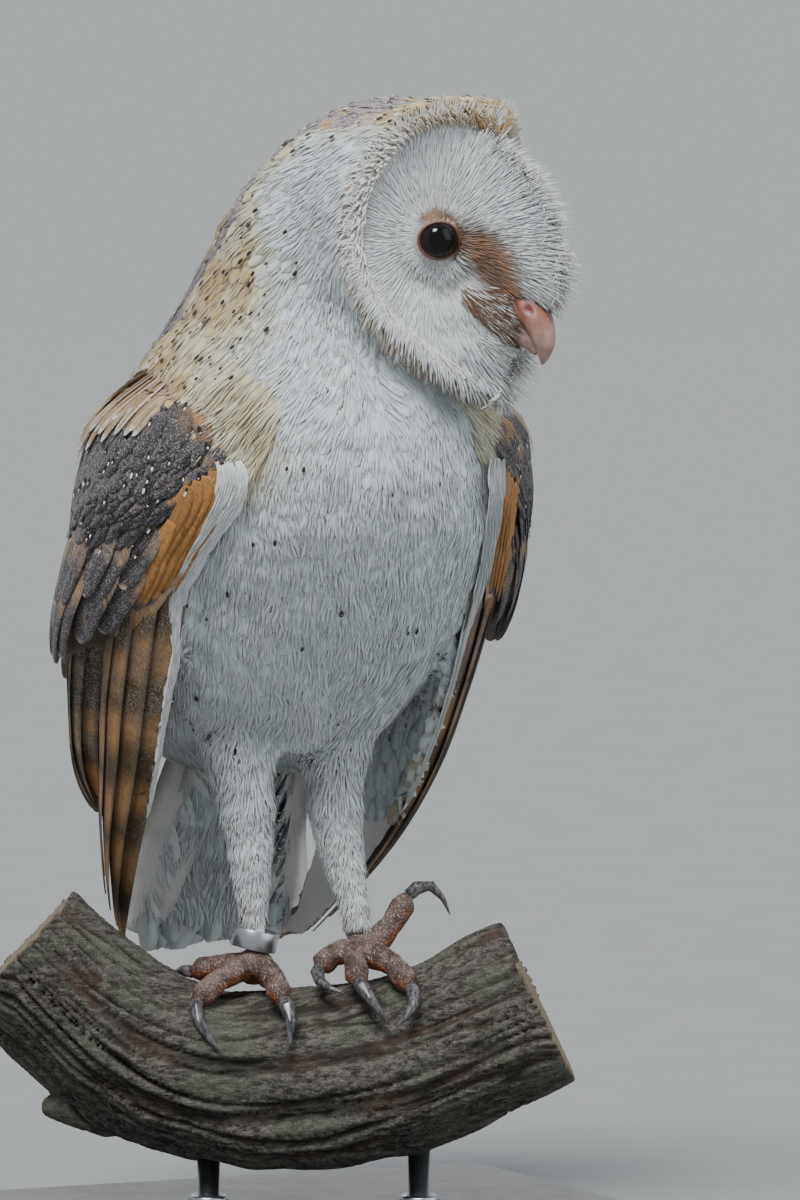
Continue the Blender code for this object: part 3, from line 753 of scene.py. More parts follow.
def leg_tint(roots):
    """White that lets the skin show through just over the foot."""
    fade = ease((42 - roots[:, 2]) / 24) * ease(0.6 + noise(roots / 3, 14))
    return blend(np.tile(WHITE, (len(roots), 1)), np.array((0.55, 0.42, 0.37)), fade * 0.75)


# The skin under the coat


def make_skin():
    """One skin grown round the solids of flesh, sunk below them by the depth of the coat."""
    skin = remeshed("skin", FLESH, 1.75, 0.45, 5)
    points = mesh_points(skin)
    nodes, corners, faces, start = [], [], [], 0
    for node in FLESH:
        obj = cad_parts[node]
        tris = triangles(obj)
        corners.append(mesh_points(obj))
        faces.append(tris + start)
        nodes += [node] * len(tris)
        start += len(corners[-1])
    tree = BVHTree.FromPolygons([Vector(point) for point in np.concatenate(corners)],
                                np.concatenate(faces).tolist())
    label = np.array([nodes[tree.find_nearest(Vector(point))[2]] for point in points])
    depth = np.zeros(len(points))
    for part, value in COAT_DEPTH.items():
        depth[np.char.find(label, part) >= 0] = value
    coverts = np.char.find(label, "coverts") >= 0
    depth[coverts] *= 1 - 0.9 * ease((points[coverts, 2] - 198) / 10)
    forward, left, up = head_axes(points)
    disc = disc_row(left, up)
    face = (label == "head") & (np.hypot(left, up) < disc[:, 0] + 2) & (forward > disc[:, 2] - 8)
    ridge = face * ease((16 - np.abs(left)) / 10) * ease((up + 24) / 12) * ease((36 - up) / 12)
    ridge = smoothed(ridge, edges_of(skin), 8)
    depth[face] = 1.2
    depth = smoothed(depth, edges_of(skin), 6)
    folds = noise(points / np.array((15, 15, 42)), 24) * 1.9 + noise(points / np.array((7, 7, 20)), 25) * 0.8
    depth += folds * np.isin(label, ["trunk", "neck"]) * ease((250 - points[:, 2]) / 40)
    inset = points - mesh_normals(skin) * depth[:, None] - AHEAD * (4.6 * ridge)[:, None]
    set_points(skin, smoothed(inset, edges_of(skin), 2))
    points, normals = mesh_points(skin), mesh_normals(skin)
    tint, pepper, _ = marks(points)
    tint[face] = face_marks(points[face])
    pepper[face] = 0
    wing = np.char.startswith(label, "wing")
    out = normals[:, 0] * np.sign(points[:, 0]) + 0.4 * normals[:, 1]
    tint[wing] = blend(WHITE * 0.97, GOLD * 0.8, ease(out[wing] * 3 + 0.6))
    pepper[wing] = ease(out[wing] * 3 - 0.5) * 0.8
    # Painted shade: where the skin of a wing faces down, its tint is darkened towards dark brown.
    rim = wing * ease((-normals[:, 2] - 0.2) / 0.3)
    tint, pepper = blend(tint, DUSK * 0.6, rim), pepper * (1 - rim)
    tint[label == "tail"] = blend(CREAM, GOLD * 0.8, ease(normals[label == "tail", 1] * 3 + 1))
    pepper[label == "tail"] = 0
    set_attribute(skin, "tint", tint)
    set_attribute(skin, "pepper", pepper)
    dress(skin, skin_material(), "white_plumage", *FLESH)
    unwrap(skin)
    return Skin(skin, label, face)


def unwrap(skin):
    """A flat layout of the skin's own shape, which the feathers' own layouts are placed on."""
    bpy.ops.object.select_all(action="DESELECT")
    bpy.context.view_layer.objects.active = skin
    skin.select_set(True)
    skin.data.uv_layers.new(name="OFBake")
    bpy.ops.object.mode_set(mode="EDIT")
    bpy.ops.mesh.select_all(action="SELECT")
    bpy.ops.uv.smart_project(angle_limit=math.radians(66), island_margin=0.004)
    bpy.ops.object.mode_set(mode="OBJECT")


class Skin:
    """The skin as arrays: what feathers are rooted in, and where each root lies on the flat layout."""

    def __init__(self, obj, label, face):
        self.points = mesh_points(obj)
        self.normals = mesh_normals(obj)
        self.faces = triangles(obj)
        self.tree = BVHTree.FromPolygons([Vector(point) for point in self.points], self.faces.tolist())
        self.label = label[self.faces[:, 0]]
        self.face = face[self.faces].all(axis=1)
        self.centre = self.points[self.faces].mean(axis=1)
        self.facing = unit(self.normals[self.faces].mean(axis=1))
        loops = np.empty(len(obj.data.loop_triangles) * 3, np.int32)
        obj.data.loop_triangles.foreach_get("loops", loops)
        flat = np.empty(len(obj.data.loops) * 2, np.float32)
        obj.data.uv_layers["OFBake"].data.foreach_get("uv", flat)
        self.flat = flat.reshape(-1, 2)[loops.reshape(-1, 3)].mean(axis=1)

    def on(self, points):
        """Nearest places on the skin, their normals and their triangles."""
        found = [self.tree.find_nearest(Vector(point)) for point in points]
        places = np.array([hit[0] for hit in found])
        index = np.array([hit[2] for hit in found])
        return places, self.facing[index], index

    def scatter(self, chosen, spacing):
        """Random roots about the spacing apart on the chosen triangles."""
        which = np.flatnonzero(chosen)
        corners = self.points[self.faces[which]]
        sides = corners[:, 1:] - corners[:, :1]
        areas = np.linalg.norm(np.cross(sides[:, 0], sides[:, 1]), axis=1) / 2
        count = int(areas.sum() / spacing**2 * 4)
        picked = rng.choice(len(which), count, p=areas / areas.sum())
        a, b = rng.random(count), rng.random(count)
        a, b = np.where(a + b > 1, 1 - a, a), np.where(a + b > 1, 1 - b, b)
        weights = np.stack([1 - a - b, a, b], axis=1)[..., None]
        places = (corners[picked] * weights).sum(axis=1)
        normals = unit((self.normals[self.faces[which[picked]]] * weights).sum(axis=1))
        cells = np.floor(places / (spacing * 1.12)).astype(int)
        first = np.unique(cells, axis=0, return_index=True)[1]
        first.sort()
        return places[first], normals[first]

    def march(self, roots, normals, flow, lengths, shares, heights):
        """Midlines from the roots over the skin, the way the coat lies, and the normals along them."""
        place, normal, path, ups = roots, normals, [roots], [normals]
        heading = laid_down(flow, normal)
        for before, after in zip(shares, shares[1:]):
            place, found, _ = self.on(place + heading * (lengths * (after - before))[:, None])
            normal = unit(0.45 * normal + 0.55 * found)
            heading = laid_down(heading, normal)
            path.append(place)
            ups.append(normal)
        path, ups = np.stack(path, axis=1), np.stack(ups, axis=1)
        return path + ups * heights[..., None], ups


# Feathers


SPIKE = np.array(((-1.0, 0.0, 0.0), (0.0, 1.0, 0.0), (1.0, 0.0, 0.0)))
VANE = np.array(((-1.0, 0.0, 0.0), (0.0, 1.0, 0.0), (1.0, 0.0, 0.0), (0.0, 1.0, 1.0)))
BROAD = np.array(((-1.0, 0.0, 0.0), (-0.5, 0.75, 0.0), (-0.04, 1.0, 0.0), (0.0, 1.35, 0.0), (0.04, 1.0, 0.0),
                  (0.5, 0.75, 0.0), (1.0, 0.0, 0.0), (0.5, 0.75, 1.0), (0.0, 1.0, 1.0), (-0.5, 0.75, 1.0)))
SPIKE_SHARES = np.array((0.0, 0.35, 0.7, 1.0))
SPIKE_WIDTHS = np.array((0.6, 1.0, 0.7, 0.06))
VANE_SHARES = np.array((0.0, 0.3, 0.58, 0.8, 0.93, 1.0))
VANE_WIDTHS = np.array((0.35, 0.85, 1.0, 0.86, 0.52, 0.10))


FLIGHT_SHARES = np.concatenate([np.linspace(0, 0.86, 16), (0.90, 0.935, 0.965, 0.985, 1.0)])


def flight_widths(count, width, taper):
    """Widths along large feathers, which narrow by the taper and end round."""
    s = FLIGHT_SHARES
    end = np.sqrt(np.clip(1 - ((s - 0.80) / 0.2).clip(0, 1) ** 2, 0.01, 1))
    body = (0.62 + 0.38 * ease(s / 0.3)) * (1 - taper * ease((s - 0.25) / 0.75))
    return np.tile(body * end, (count, 1)) * width * 0.5


def atlas(count, index, total):
    """A cell of the flat layout for each large feather."""
    columns = 8
    rows = math.ceil(total / columns)
    cell = index + np.arange(count)
    corner = np.stack([(cell % columns) / columns, (cell // columns) / rows], axis=-1)
    inner = np.stack(np.broadcast_arrays(0.5 + 0.44 * BROAD[:, 0], 0.04 + 0.92 * FLIGHT_SHARES[:, None]), -1)
    return corner[:, None, None] + inner / np.array((columns, rows))


def spread_out(value, shape, is_colour):
    """A value given for all, for each feather, each station or each vertex, as one for every vertex."""
    value = np.asarray(value, float)
    kept = value.ndim - is_colour
    gaps = (1,) * (len(shape) - kept) if kept else ()
    value = value.reshape(value.shape[:kept] + gaps + value.shape[kept:])
    extra = (3,) if is_colour else ()
    return np.broadcast_to(value, (*shape, *extra)).reshape(-1, *extra)


def tuft_patch(ring, stations):
    """A feather's own small patch of the flat layout, about its root."""
    along = np.linspace(-0.0013, 0.0013, stations)[:, None]
    return np.stack(np.broadcast_arrays(0.0012 * ring[:, 0], along), -1)


class Coat:
    """Gathers feathers into one piece. Each feather is a closed ring section swept along its midline."""

    def __init__(self, name, skin, softness=0.0):
        self.name, self.skin, self.softness = name, skin, softness
        self.points, self.faces, self.caps, self.flat, self.facing, self.start = [], [], [], [], [], 0
        self.values = {key: [] for key in ("tint", "pepper", "along", "across")}

    def add(self, path, ups, widths, ring, arch=0.2, thickness=0.25, tint=WHITE, pepper=0.0,
            flat=None, tilt=0.0):
        """Feathers along these midlines, with a ring section scaled by the widths at each station."""
        count, stations = path.shape[:2]
        shape = (count, stations, len(ring))
        self.facing.append(np.broadcast_to(ups[:, :, None], (*shape, 3)).reshape(-1, 3))
        along = np.gradient(path, axis=1)
        side = unit(np.cross(along, ups))
        ups = unit(np.cross(side, along) + side * tilt)
        side = unit(np.cross(along, ups))
        across = widths[..., None] * ring[:, 0]
        rise = (widths * arch)[..., None] * ring[:, 1] - thickness * ring[:, 2]
        points = path[:, :, None] + side[:, :, None] * across[..., None] + ups[:, :, None] * rise[..., None]
        points = points.reshape(-1, 3)
        index = np.arange(len(points)).reshape(shape)
        low, high = index[:, :-1], index[:, 1:]
        quads = np.stack([low, np.roll(low, -1, 2), np.roll(high, -1, 2), high], -1).reshape(-1, 4)
        caps = np.concatenate([index[:, 0, ::-1], index[:, -1]])
        a, b, c, d = (points[quads[:, k]] - points.mean(axis=0) for k in range(4))
        if (a * (np.cross(b, c) + np.cross(c, d))).sum() < 0:
            quads, caps = quads[:, ::-1], caps[:, ::-1]
        length = np.linalg.norm(np.diff(path, axis=1), axis=2)
        run = np.concatenate([np.zeros((count, 1)), np.cumsum(length, axis=1)], axis=1)
        self.points.append(points)
        self.faces.append(quads + self.start)
        self.caps.append(caps + self.start)
        self.start += len(points)
        for key, value in (("tint", tint), ("pepper", pepper), ("along", run), ("across", across)):
            self.values[key].append(spread_out(value, shape, key == "tint"))
        if flat is None:
            flat = self.skin.flat[self.skin.on(path[:, 0])[2]][:, None, None] + tuft_patch(ring, stations)
        self.flat.append(np.broadcast_to(flat, (*shape, 2)).reshape(-1, 2))

    def finish(self, material, slot):
        """Makes the piece, with its attributes, its flat layout and its softened shading."""
        faces = np.concatenate(self.faces)
        sizes = {}
        for caps in self.caps:
            sizes.setdefault(caps.shape[1], []).append(caps)
        polygons = [faces, *[np.concatenate(group) for group in sizes.values()]]
        obj = new_object(self.name, np.concatenate(self.points), polygons)
        for key, values in self.values.items():
            set_attribute(obj, key, np.concatenate(values))
        layer = obj.data.uv_layers.new(name="OFBake")
        loops = np.empty(len(obj.data.loops), np.int32)
        obj.data.loops.foreach_get("vertex_index", loops)
        layer.data.foreach_set("uv", np.concatenate(self.flat)[loops].astype(np.float32).ravel())
        if self.softness:
            share = np.full(self.start, self.softness)
            soft = unit(blend(mesh_normals(obj), np.concatenate(self.facing), share))
            obj.data.normals_split_custom_set_from_vertices(soft.tolist())
        count = sum((faces.shape[1] - 2) * len(faces) for faces in polygons)
        print(f"{self.name}: {count} triangles")
        return dress(obj, material, slot)


def lie_of_body(points, normals):
    """Down and back over the body, away from the face on the head, and down the legs."""
    height = points[:, 2]
    flow = np.tile(np.array((0.0, 0.30, -1.0)), (len(points), 1))
    head = ease((height - 235) / 40)
    away = -AHEAD * 1.0 - UP * 0.75
    flow = blend(flow, np.tile(away, (len(points), 1)), head)
    below = ease((height - 190) / 20) * (1 - head)
    flow[:, 0] += 0.35 * below * np.sign(points[:, 0]) * (normals[:, 1] < 0)
    legs = ease((100 - height) / 20)
    return unit(blend(flow, np.tile(np.array((0.0, 0.05, -1.0)), (len(points), 1)), legs))


def combed(roots, normals):
    """The lie of the body's coat with soft partings."""
    swirl = noise(roots / 18, 21) + 0.5 * noise(roots / 7, 22)
    flow = lie_of_body(roots, normals) + np.stack([swirl * 0.35, 0 * swirl, 0 * swirl], axis=1)
    return unit(flow + rng.normal(0, 0.05, roots.shape))


def add_locks(coat, roots, normals, flow, length, width, hairs, gap, spread, lift, tint, base=0.0):
    """Fine hairs: several leave from about one root, lie along the coat and part towards their tips."""
    count = len(roots)
    lengths = length * jitter(count, 0.25)
    heights = base + (0.5 + SPIKE_SHARES * lift) * (jitter(count, 0.35) + 0.3 * noise(roots / 9, 71))[:, None]
    path, ups = coat.skin.march(roots, normals, flow, lengths, SPIKE_SHARES, heights)
    side = unit(np.cross(np.gradient(path, axis=1), ups))
    flat = coat.skin.flat[coat.skin.on(roots)[2]][:, None, None] + tuft_patch(SPIKE, len(SPIKE_SHARES))
    for hair in range(hairs):
        place = (hair - (hairs - 1) / 2) / max(hairs - 1, 1) + rng.uniform(-0.15, 0.15, count)
        reach = (place * spread)[:, None] * SPIKE_SHARES**1.5 * lengths[:, None] + (place * gap)[:, None]
        bob = rng.uniform(-0.35, 0.35, count)[:, None] * SPIKE_SHARES * lift * 0.5
        cut = rng.uniform(0.7, 1.08, count)[:, None, None]
        line = path[:, :1] + (path - path[:, :1]) * cut + side * reach[..., None] + ups * bob[..., None]
        widths = SPIKE_WIDTHS * width * 0.5 * jitter(count, 0.3)[:, None]
        coat.add(line, ups, widths, SPIKE, 0.18, tint=tint * jitter(count, 0.03)[:, None], flat=flat)


def add_vanes(coat, roots, normals, flow, length, width, lift, tint, pepper=0.0, arch=0.16, tilt=0.0,
              base=0.1):
    """Small body feathers, which lie over one another like tiles."""
    count = len(roots)
    lengths = length * jitter(count, 0.2)
    heights = (base + VANE_SHARES**0.8 * lift) * jitter(count, 0.3)[:, None]
    path, ups = coat.skin.march(roots, normals, flow, lengths, VANE_SHARES, heights)
    ragged = rng.uniform(0.88, 1.12, (count, len(VANE_SHARES)))
    widths = VANE_WIDTHS * width * 0.5 * jitter(count, 0.15)[:, None] * ragged
    coat.add(path, ups, widths, VANE, arch, 0.18, tint, pepper, tilt=tilt)


def add_bristles(coat, roots, normals, flow, lengths, stand, width, tint):
    """Stiff fine hairs that rise from the skin by a share of their length and curve back to it."""
    across = np.cross(normals, flow)
    run = (lengths[:, None] * SPIKE_SHARES)[..., None]
    rise = (stand[:, None] * SPIKE_SHARES * (1.25 - 0.45 * SPIKE_SHARES))[..., None] * lengths[:, None, None]
    sway = rng.uniform(-0.22, 0.22, len(roots))[:, None] * SPIKE_SHARES**2 * lengths[:, None] * 0.5
    path = roots[:, None] + flow[:, None] * run + normals[:, None] * (rise + 0.05)
    path = path + across[:, None] * sway[..., None]
    widths = SPIKE_WIDTHS * width * 0.5 * jitter(len(roots), 0.3)[:, None]
    ups = np.repeat(normals[:, None], len(SPIKE_SHARES), axis=1)
    coat.add(path, ups, widths, SPIKE, 0.2, tint=tint * jitter(len(roots), 0.04)[:, None])


def add_flecks(coat, roots, normals, grey, height):
    """Short dark tips lying on the coat, and on grey ground a white drop beyond each."""
    count = len(roots)
    flow = lie_of_body(roots, normals)
    for first, length, width, tint, kept in ((0.0, 2.0, 1.25, DUSK * 0.35, np.full(count, True)),
                                            (1.5, 1.7, 0.8, WHITE, rng.random(count) < 0.1 + 0.8 * grey)):
        size = jitter(count, 0.35)[kept]
        starts = roots[kept] + flow[kept] * first * size[:, None]
        heights = height[kept][:, None] + 0.25 * VANE_SHARES
        path, ups = coat.skin.march(starts, normals[kept], flow[kept], length * size, VANE_SHARES, heights)
        widths = VANE_WIDTHS * (width * 0.5 * size)[:, None]
        coat.add(path, ups, widths, VANE, 0.2, 0.15, tint)


# Coat of the body


def make_breast(skin, hair):
    """Throat, breast, belly and flanks: small soft feathers under a layer of fine loose hairs."""
    body = np.isin(skin.label, ["trunk", "neck", "head"]) & ~skin.face & ~in_disc(skin.centre)
    front = body & (marks(skin.centre)[1] < 0.35)
    height = skin.centre[:, 2]
    for level, low, high in (("belly", -50, 195), ("throat", 195, 400)):
        coat = Coat(f"coat_under_{level}", skin, 0.4)
        roots, normals = skin.scatter(front & (height > low) & (height <= high), 3.6)
        add_vanes(coat, roots, normals, combed(roots, normals), 11.5, 6.0, 0.8, marks(roots)[0], arch=0.10)
        coat.finish(hair, "white_plumage")
    levels = (("lower", -50, 150), ("middle", 150, 200), ("breast", 200, 246), ("neck", 246, 400))
    for word, side in (("right", skin.centre[:, 0] < 0), ("left", skin.centre[:, 0] >= 0)):
        for level, low, high in levels:
            coat = Coat(f"coat_{level}_{word}", skin, 0.25 if level == "lower" else 0.4)
            roots, normals = skin.scatter(front & side & (height > low) & (height <= high), 2.65)
            tint = marks(roots)[0]
            kept = rng.random(len(roots)) < 0.5 + 0.5 * ease((tint[:, 2] - 0.35) / 0.4)
            roots, normals, tint = roots[kept], normals[kept], tint[kept]
            lift = 1.15 if high <= 200 else 0.9
            add_locks(coat, roots, normals, combed(roots, normals), 10.0, 0.92, 4, 2.7, 0.30, lift, tint)
            coat.finish(hair, "white_plumage")


def make_shoulders(skin, hair):
    """Cream and gold plumes that sweep from each side of the breast over the front of the wing."""
    coat = Coat("coat_shoulders", skin, 0.4)
    body = np.isin(skin.label, ["trunk", "neck"])
    for sign in (-1, 1):
        away = np.linalg.norm(skin.centre - np.array((sign * 43, -46, 203)), axis=1)
        roots, normals = skin.scatter(body & (away < 15), 1.8)
        flow = unit(np.array((sign * 0.70, 0.05, -0.75)) + rng.normal(0, 0.06, roots.shape))
        gold = ease(0.3 + noise(roots / 5, 81) * 1.2)
        tint = blend(np.tile(CREAM * np.array((1.03, 1.0, 0.90)), (len(roots), 1)), BUFF, gold * 0.75)
        add_locks(coat, roots, normals, flow, 14.0, 0.8, 4, 2.2, 0.16, 3.0, tint)
    coat.finish(hair, "buff_plumage")


def make_specks(skin, plumage):
    """The small dark spots of the body, some with a white fleck below."""
    coat = Coat("coat_specks", skin, 0.3)
    body = np.isin(skin.label, ["trunk", "neck", "head"]) & ~skin.face
    roots, normals = skin.scatter(body & ~in_disc(skin.centre), 4.9)
    _, grey, chance = marks(roots)
    belly = (roots[:, 2] < 185) & (chance < 0.05)
    kept = rng.random(len(roots)) < np.where(belly, 0.03, chance * (0.9 - 0.4 * grey))
    height = 2.3 - 1.45 * grey
    add_flecks(coat, roots[kept], normals[kept], grey[kept], height[kept])
    coat.finish(plumage, "buff_plumage")


def make_mantle(skin, crown, mantle):
    """Crown, nape, mantle and rump: peppered grey tips over gold."""
    grey = marks(skin.centre)[1]
    body = np.isin(skin.label, ["trunk", "neck", "head"]) & ~skin.face & (grey > 0.10) & ~in_disc(skin.centre)
    parts = (("coat_crown", crown, 6.0, 3.6, 2.35, 274, 400),
             ("coat_mantle", mantle, 11.0, 6.2, 3.1, -50, 274))
    for name, plumage, length, width, spacing, low, high in parts:
        coat = Coat(name, skin, 0.4)
        roots, normals = skin.scatter(body & (skin.centre[:, 2] > low) & (skin.centre[:, 2] <= high), spacing)
        tint, pepper, _ = marks(roots)
        pepper = pepper * (0.30 + 0.70 * ease(0.85 + noise(roots / 8, 45) * 1.7))
        flow = lie_of_body(roots, normals) + rng.normal(0, 0.12, roots.shape)
        tips = np.clip(pepper[:, None] * np.interp(VANE_SHARES, (0, 0.3, 0.6, 1), (0.1, 0.5, 0.95, 1)), 0, 1)
        tint = tint * jitter(len(roots), 0.06)[:, None]
        add_vanes(coat, roots, normals, unit(flow), length, width, 0.35, tint, tips, arch=0.06, tilt=0.02)
        coat.finish(plumage, "grey_plumage")


def make_legs(skin, hair):
    """Thighs and shanks, with feathers that grow shorter and thinner towards the toes."""
    coat = Coat("coat_legs", skin, 0.15)
    parts = (("thigh", 2.7, 9.5, 0.78, 1.2), ("tarsus", 2.0, 5.5, 0.58, 0.7))
    for part, spacing, length, width, lift in parts:
        ringed = (skin.label == "tarsus_right") & (skin.centre[:, 2] < 27)
        chosen = np.char.startswith(skin.label, part) & ~ringed
        roots, normals = skin.scatter(chosen, spacing * 1.35)
        add_vanes(coat, roots, normals, lie_of_body(roots, normals), length, length * 0.5, lift * 0.35,
                  leg_tint(roots), arch=0.05)
        roots, normals = skin.scatter(chosen, spacing)
        keep = (roots[:, 2] > 26) | (rng.random(len(roots)) < 0.6)
        roots, normals = roots[keep], normals[keep]
        flow = unit(lie_of_body(roots, normals) + rng.normal(0, 0.08, roots.shape))
        add_locks(coat, roots, normals, flow, length, width, 4, spacing, 0.4, lift, leg_tint(roots))
    coat.finish(hair, "white_plumage")


# Head


def lid_corner(turn):
    """1 at the front corner of the eye, below its middle."""
    return np.exp(-(((turn - math.radians(205) + math.pi) % (2 * math.pi) - math.pi) / 0.30) ** 2)


def lid_ring(side, turn, step, radius):
    """Places round one eye, a step in degrees outside the edge of the lids, and the way from its middle."""
    axis, outer, rise, centre = eye_frame(side)
    opening = 51 + 3.0 * np.cos(2 * turn) - 6.0 * np.maximum(np.sin(turn), 0) + 11 * lid_corner(turn)
    angle = np.radians(opening + step + 1.3 * min(step, 8) * lid_corner(turn))[:, None]
    aside = outer * np.cos(turn)[:, None] + rise * np.sin(turn)[:, None]
    return centre + (axis * np.cos(angle) + aside * np.sin(angle)) * radius, aside


def lid_skirt(skin, side, turn, share):
    """Places on the slope from the rim of the lids down to the skin of the face."""
    rim, aside = lid_ring(side, turn, 8, 8.68)
    edge, normals, _ = skin.on(lid_ring(side, turn, 36, 10.8)[0])
    ups = unit(blend(unit(rim - eye_frame(side)[3]), normals, share))
    return blend(rim, edge, share), aside, ups


def add_gape_bristles(coat, sign):
    """Bristles that sweep over the base of the bill, rust-brown at the gape, and white ones on the chin."""
    # Number of bristles, the line of their roots (forward and up), how loosely they keep to it,
    # how far aside, how steeply they drop, their length and whether they are brown.
    groups = ((480, (4, -20), (17, -29), 3.6, 7.0, 0.62, 10.5, 1.0),
              (200, (12, -18), (20, -24), 1.6, 6.4, 0.25, 6.0, 1.0),
              (420, (9, -34), (17, -42), 2.6, 6.0, 0.45, 11.0, 0.0),
              (260, (14, -44), (17, -47), 2.0, 2.5, 0.10, 10.0, 0.0))
    for count, first, last, loose, side, drop, length, brown in groups:
        along = rng.random(count)
        place = np.array(first) + (np.array(last) - first) * along[:, None]
        place = place + rng.uniform(-loose, loose, (count, 2))
        aside = sign * side * rng.uniform(0.3 + 0.5 * (side > 5), 1.1, count)
        roots, normals, _ = coat.skin.on(head_place(place[:, 0], aside, place[:, 1]))
        flow = AHEAD * 0.85 - UP * (drop + rng.uniform(-0.15, 0.15, count))[:, None]
        flow = laid_down(flow + rng.normal(0, 0.06, (count, 3)), normals, 0.8)
        pale = ease(rng.uniform(-0.9, 1.05, count) + 2 - 2 * brown)
        tint = blend(np.tile(RUST * 0.62, (count, 1)), WHITE * 1.05, pale)
        lengths = length * (0.6 + 0.5 * along) * jitter(count, 0.2)
        add_bristles(coat, roots + normals * 0.6, normals, flow, lengths, np.full(count, 0.10), 0.42, tint)


def make_face(skin, hair):
    """Fine bristly feathers that radiate from the eyes and stand out along the ridge between them."""
    left_of_head = head_axes(skin.centre)[1] > 0
    for word, half, sign in (("right", ~left_of_head, -1), ("left", left_of_head, 1)):
        coat = Coat(f"coat_face_{word}", skin, 0.3)
        roots, normals = skin.scatter(skin.face & half, 0.94)
        _, left, up = head_axes(roots)
        count = len(roots)
        eye = head_place(EYE_DEPTH - 2.0, sign * (EYE_SIDE + 0.5), EYE_RISE)
        away = unit(roots - eye)
        ridge = ease((12 - np.abs(left)) / 10) * ease((up + 24) / 12)
        bill = ease(1 - np.hypot(left, up + 26) / 15)
        chin = ease(1.2 - np.hypot(left, up + 42) / 14)
        away = away + AHEAD * (0.30 * ridge + 0.9 * chin)[:, None] - UP * (0.7 * bill + 0.1 * chin)[:, None]
        flow = laid_down(away, normals)
        near = np.clip(np.linalg.norm(roots - eye, axis=1) / 14, 0.35, 1.0)
        stand = 0.09 + 0.13 * ridge + 0.05 * bill + 0.30 * chin + rng.uniform(-0.04, 0.05, count)
        lengths = 6.2 + 1.8 * ridge + 3.0 * ridge * bill + 5.0 * chin + 0.02 * np.abs(up)
        lengths = lengths * jitter(count, 0.3) * near
        add_bristles(coat, roots, normals, flow, lengths, stand, 0.56, face_marks(roots))
        for share in np.linspace(0.0, 1.0, 9):
            turn = np.linspace(0, 2 * math.pi, 120, endpoint=False) + rng.uniform(-0.03, 0.03, 120)
            turn = turn[(lid_corner(turn) < 0.35) | (share > 0.6)]
            count = len(turn)
            roots, aside, ups = lid_skirt(skin, sign, turn, share)
            flow = unit(aside - ups * (aside * ups).sum(1, keepdims=True) - UP * 0.1)
            lengths = (2.6 + 2.2 * share + 0.8 * np.maximum(np.sin(turn), 0)) * jitter(count, 0.3)
            add_bristles(coat, roots, ups, flow, lengths, 0.14 + 0 * turn, 0.44, face_marks(roots))
        add_gape_bristles(coat, sign)
        coat.finish(hair, "white_plumage")


def make_ruff(skin, plumage):
    """Rows of short stiff feathers round the facial disc, edged brown, golden at the crown."""
    coat = Coat("coat_ruff", skin, 0.3)
    for row, share in enumerate(np.linspace(-0.15, 1.1, 7)):
        count = 260
        angle = (np.arange(count) + 0.5 * (row % 2) + rng.uniform(-0.45, 0.45, count)) * 360 / count
        from_top = np.minimum(angle % 360, 360 - angle % 360)
        disc, ruff, rim = np.moveaxis(smooth_rows(DISC, from_top), -1, 0)
        turn = np.radians(angle)
        low = ease((from_top - 105) / 30)
        flank = ease((from_top - 35) / 45)
        radius = disc + (ruff - disc) * share * (0.75 + 0.2 * low) - 1.6
        forward = rim + 0.1 - 3.2 * max(share - 0.35, 0)
        roots = head_place(forward, radius * np.sin(turn), radius * np.cos(turn))
        spoke = ASIDE * np.sin(turn)[:, None] + UP * np.cos(turn)[:, None]
        round_disc = ASIDE * np.cos(turn)[:, None] - UP * np.sin(turn)[:, None]
        to_chin = round_disc * np.where(angle % 360 < 180, 1.0, -1.0)[:, None]
        top = ease((50 - from_top) / 24) * np.clip(share * 1.6, 0.5, 1)
        top = np.clip(top + ease((15 - from_top) / 8), 0, 1)
        out = spoke * (0.75 - 0.28 * flank)[:, None] + to_chin * (0.35 + 0.60 * flank + 0.15 * low)[:, None]
        out = unit(out + AHEAD * (0.12 - 0.7 * share) + rng.normal(0, 0.10, (count, 3)))
        stand = unit(AHEAD + spoke * (0.2 + 0.9 * max(share, 0)))
        stand = laid_down(stand, out)
        lengths = (5.2 + 2.8 * low) * jitter(count, 0.25)
        run = (lengths[:, None] * VANE_SHARES)[..., None]
        lift = (0.1 + 0.45 * np.sin(VANE_SHARES * 2.4)) * jitter(count, 0.6)[:, None]
        path = roots[:, None] + out[:, None] * run + stand[:, None] * lift[..., None]
        widths = VANE_WIDTHS * 0.62 * jitter(count, 0.3)[:, None]
        ups = np.repeat(stand[:, None], len(VANE_SHARES), axis=1)
        base = blend(np.tile(blend(CREAM, WHITE, 0.85), (count, 1)), np.array((0.54, 0.385, 0.18)), top)
        edge = blend(np.tile(np.array((0.34, 0.24, 0.13)), (count, 1)), DUSK * 1.2, low * 0.5)
        weight = np.maximum((0.0, 0.1, 0.25, 0.4, 0.5, 0.75, 1.0)[row], 0.45 * top)
        dark = np.clip((0.36 + 0.9 * low + 0.6 * top) * weight * rng.uniform(0.2, 1.5, count), 0, 1)
        tips = np.interp(VANE_SHARES, (0, 0.6, 0.85, 1), (0.5, 0.1, 0.6, 1))[:, None]
        lines = np.maximum(tips, np.array((0.85, 0.0, 0.85, 0.5)))
        tint = blend(base[:, None, None], edge[:, None, None], dark[:, None, None] * lines)
        coat.add(path, ups, widths, VANE, 0.3, 0.12, tint)
    coat.finish(plumage, "buff_plumage")


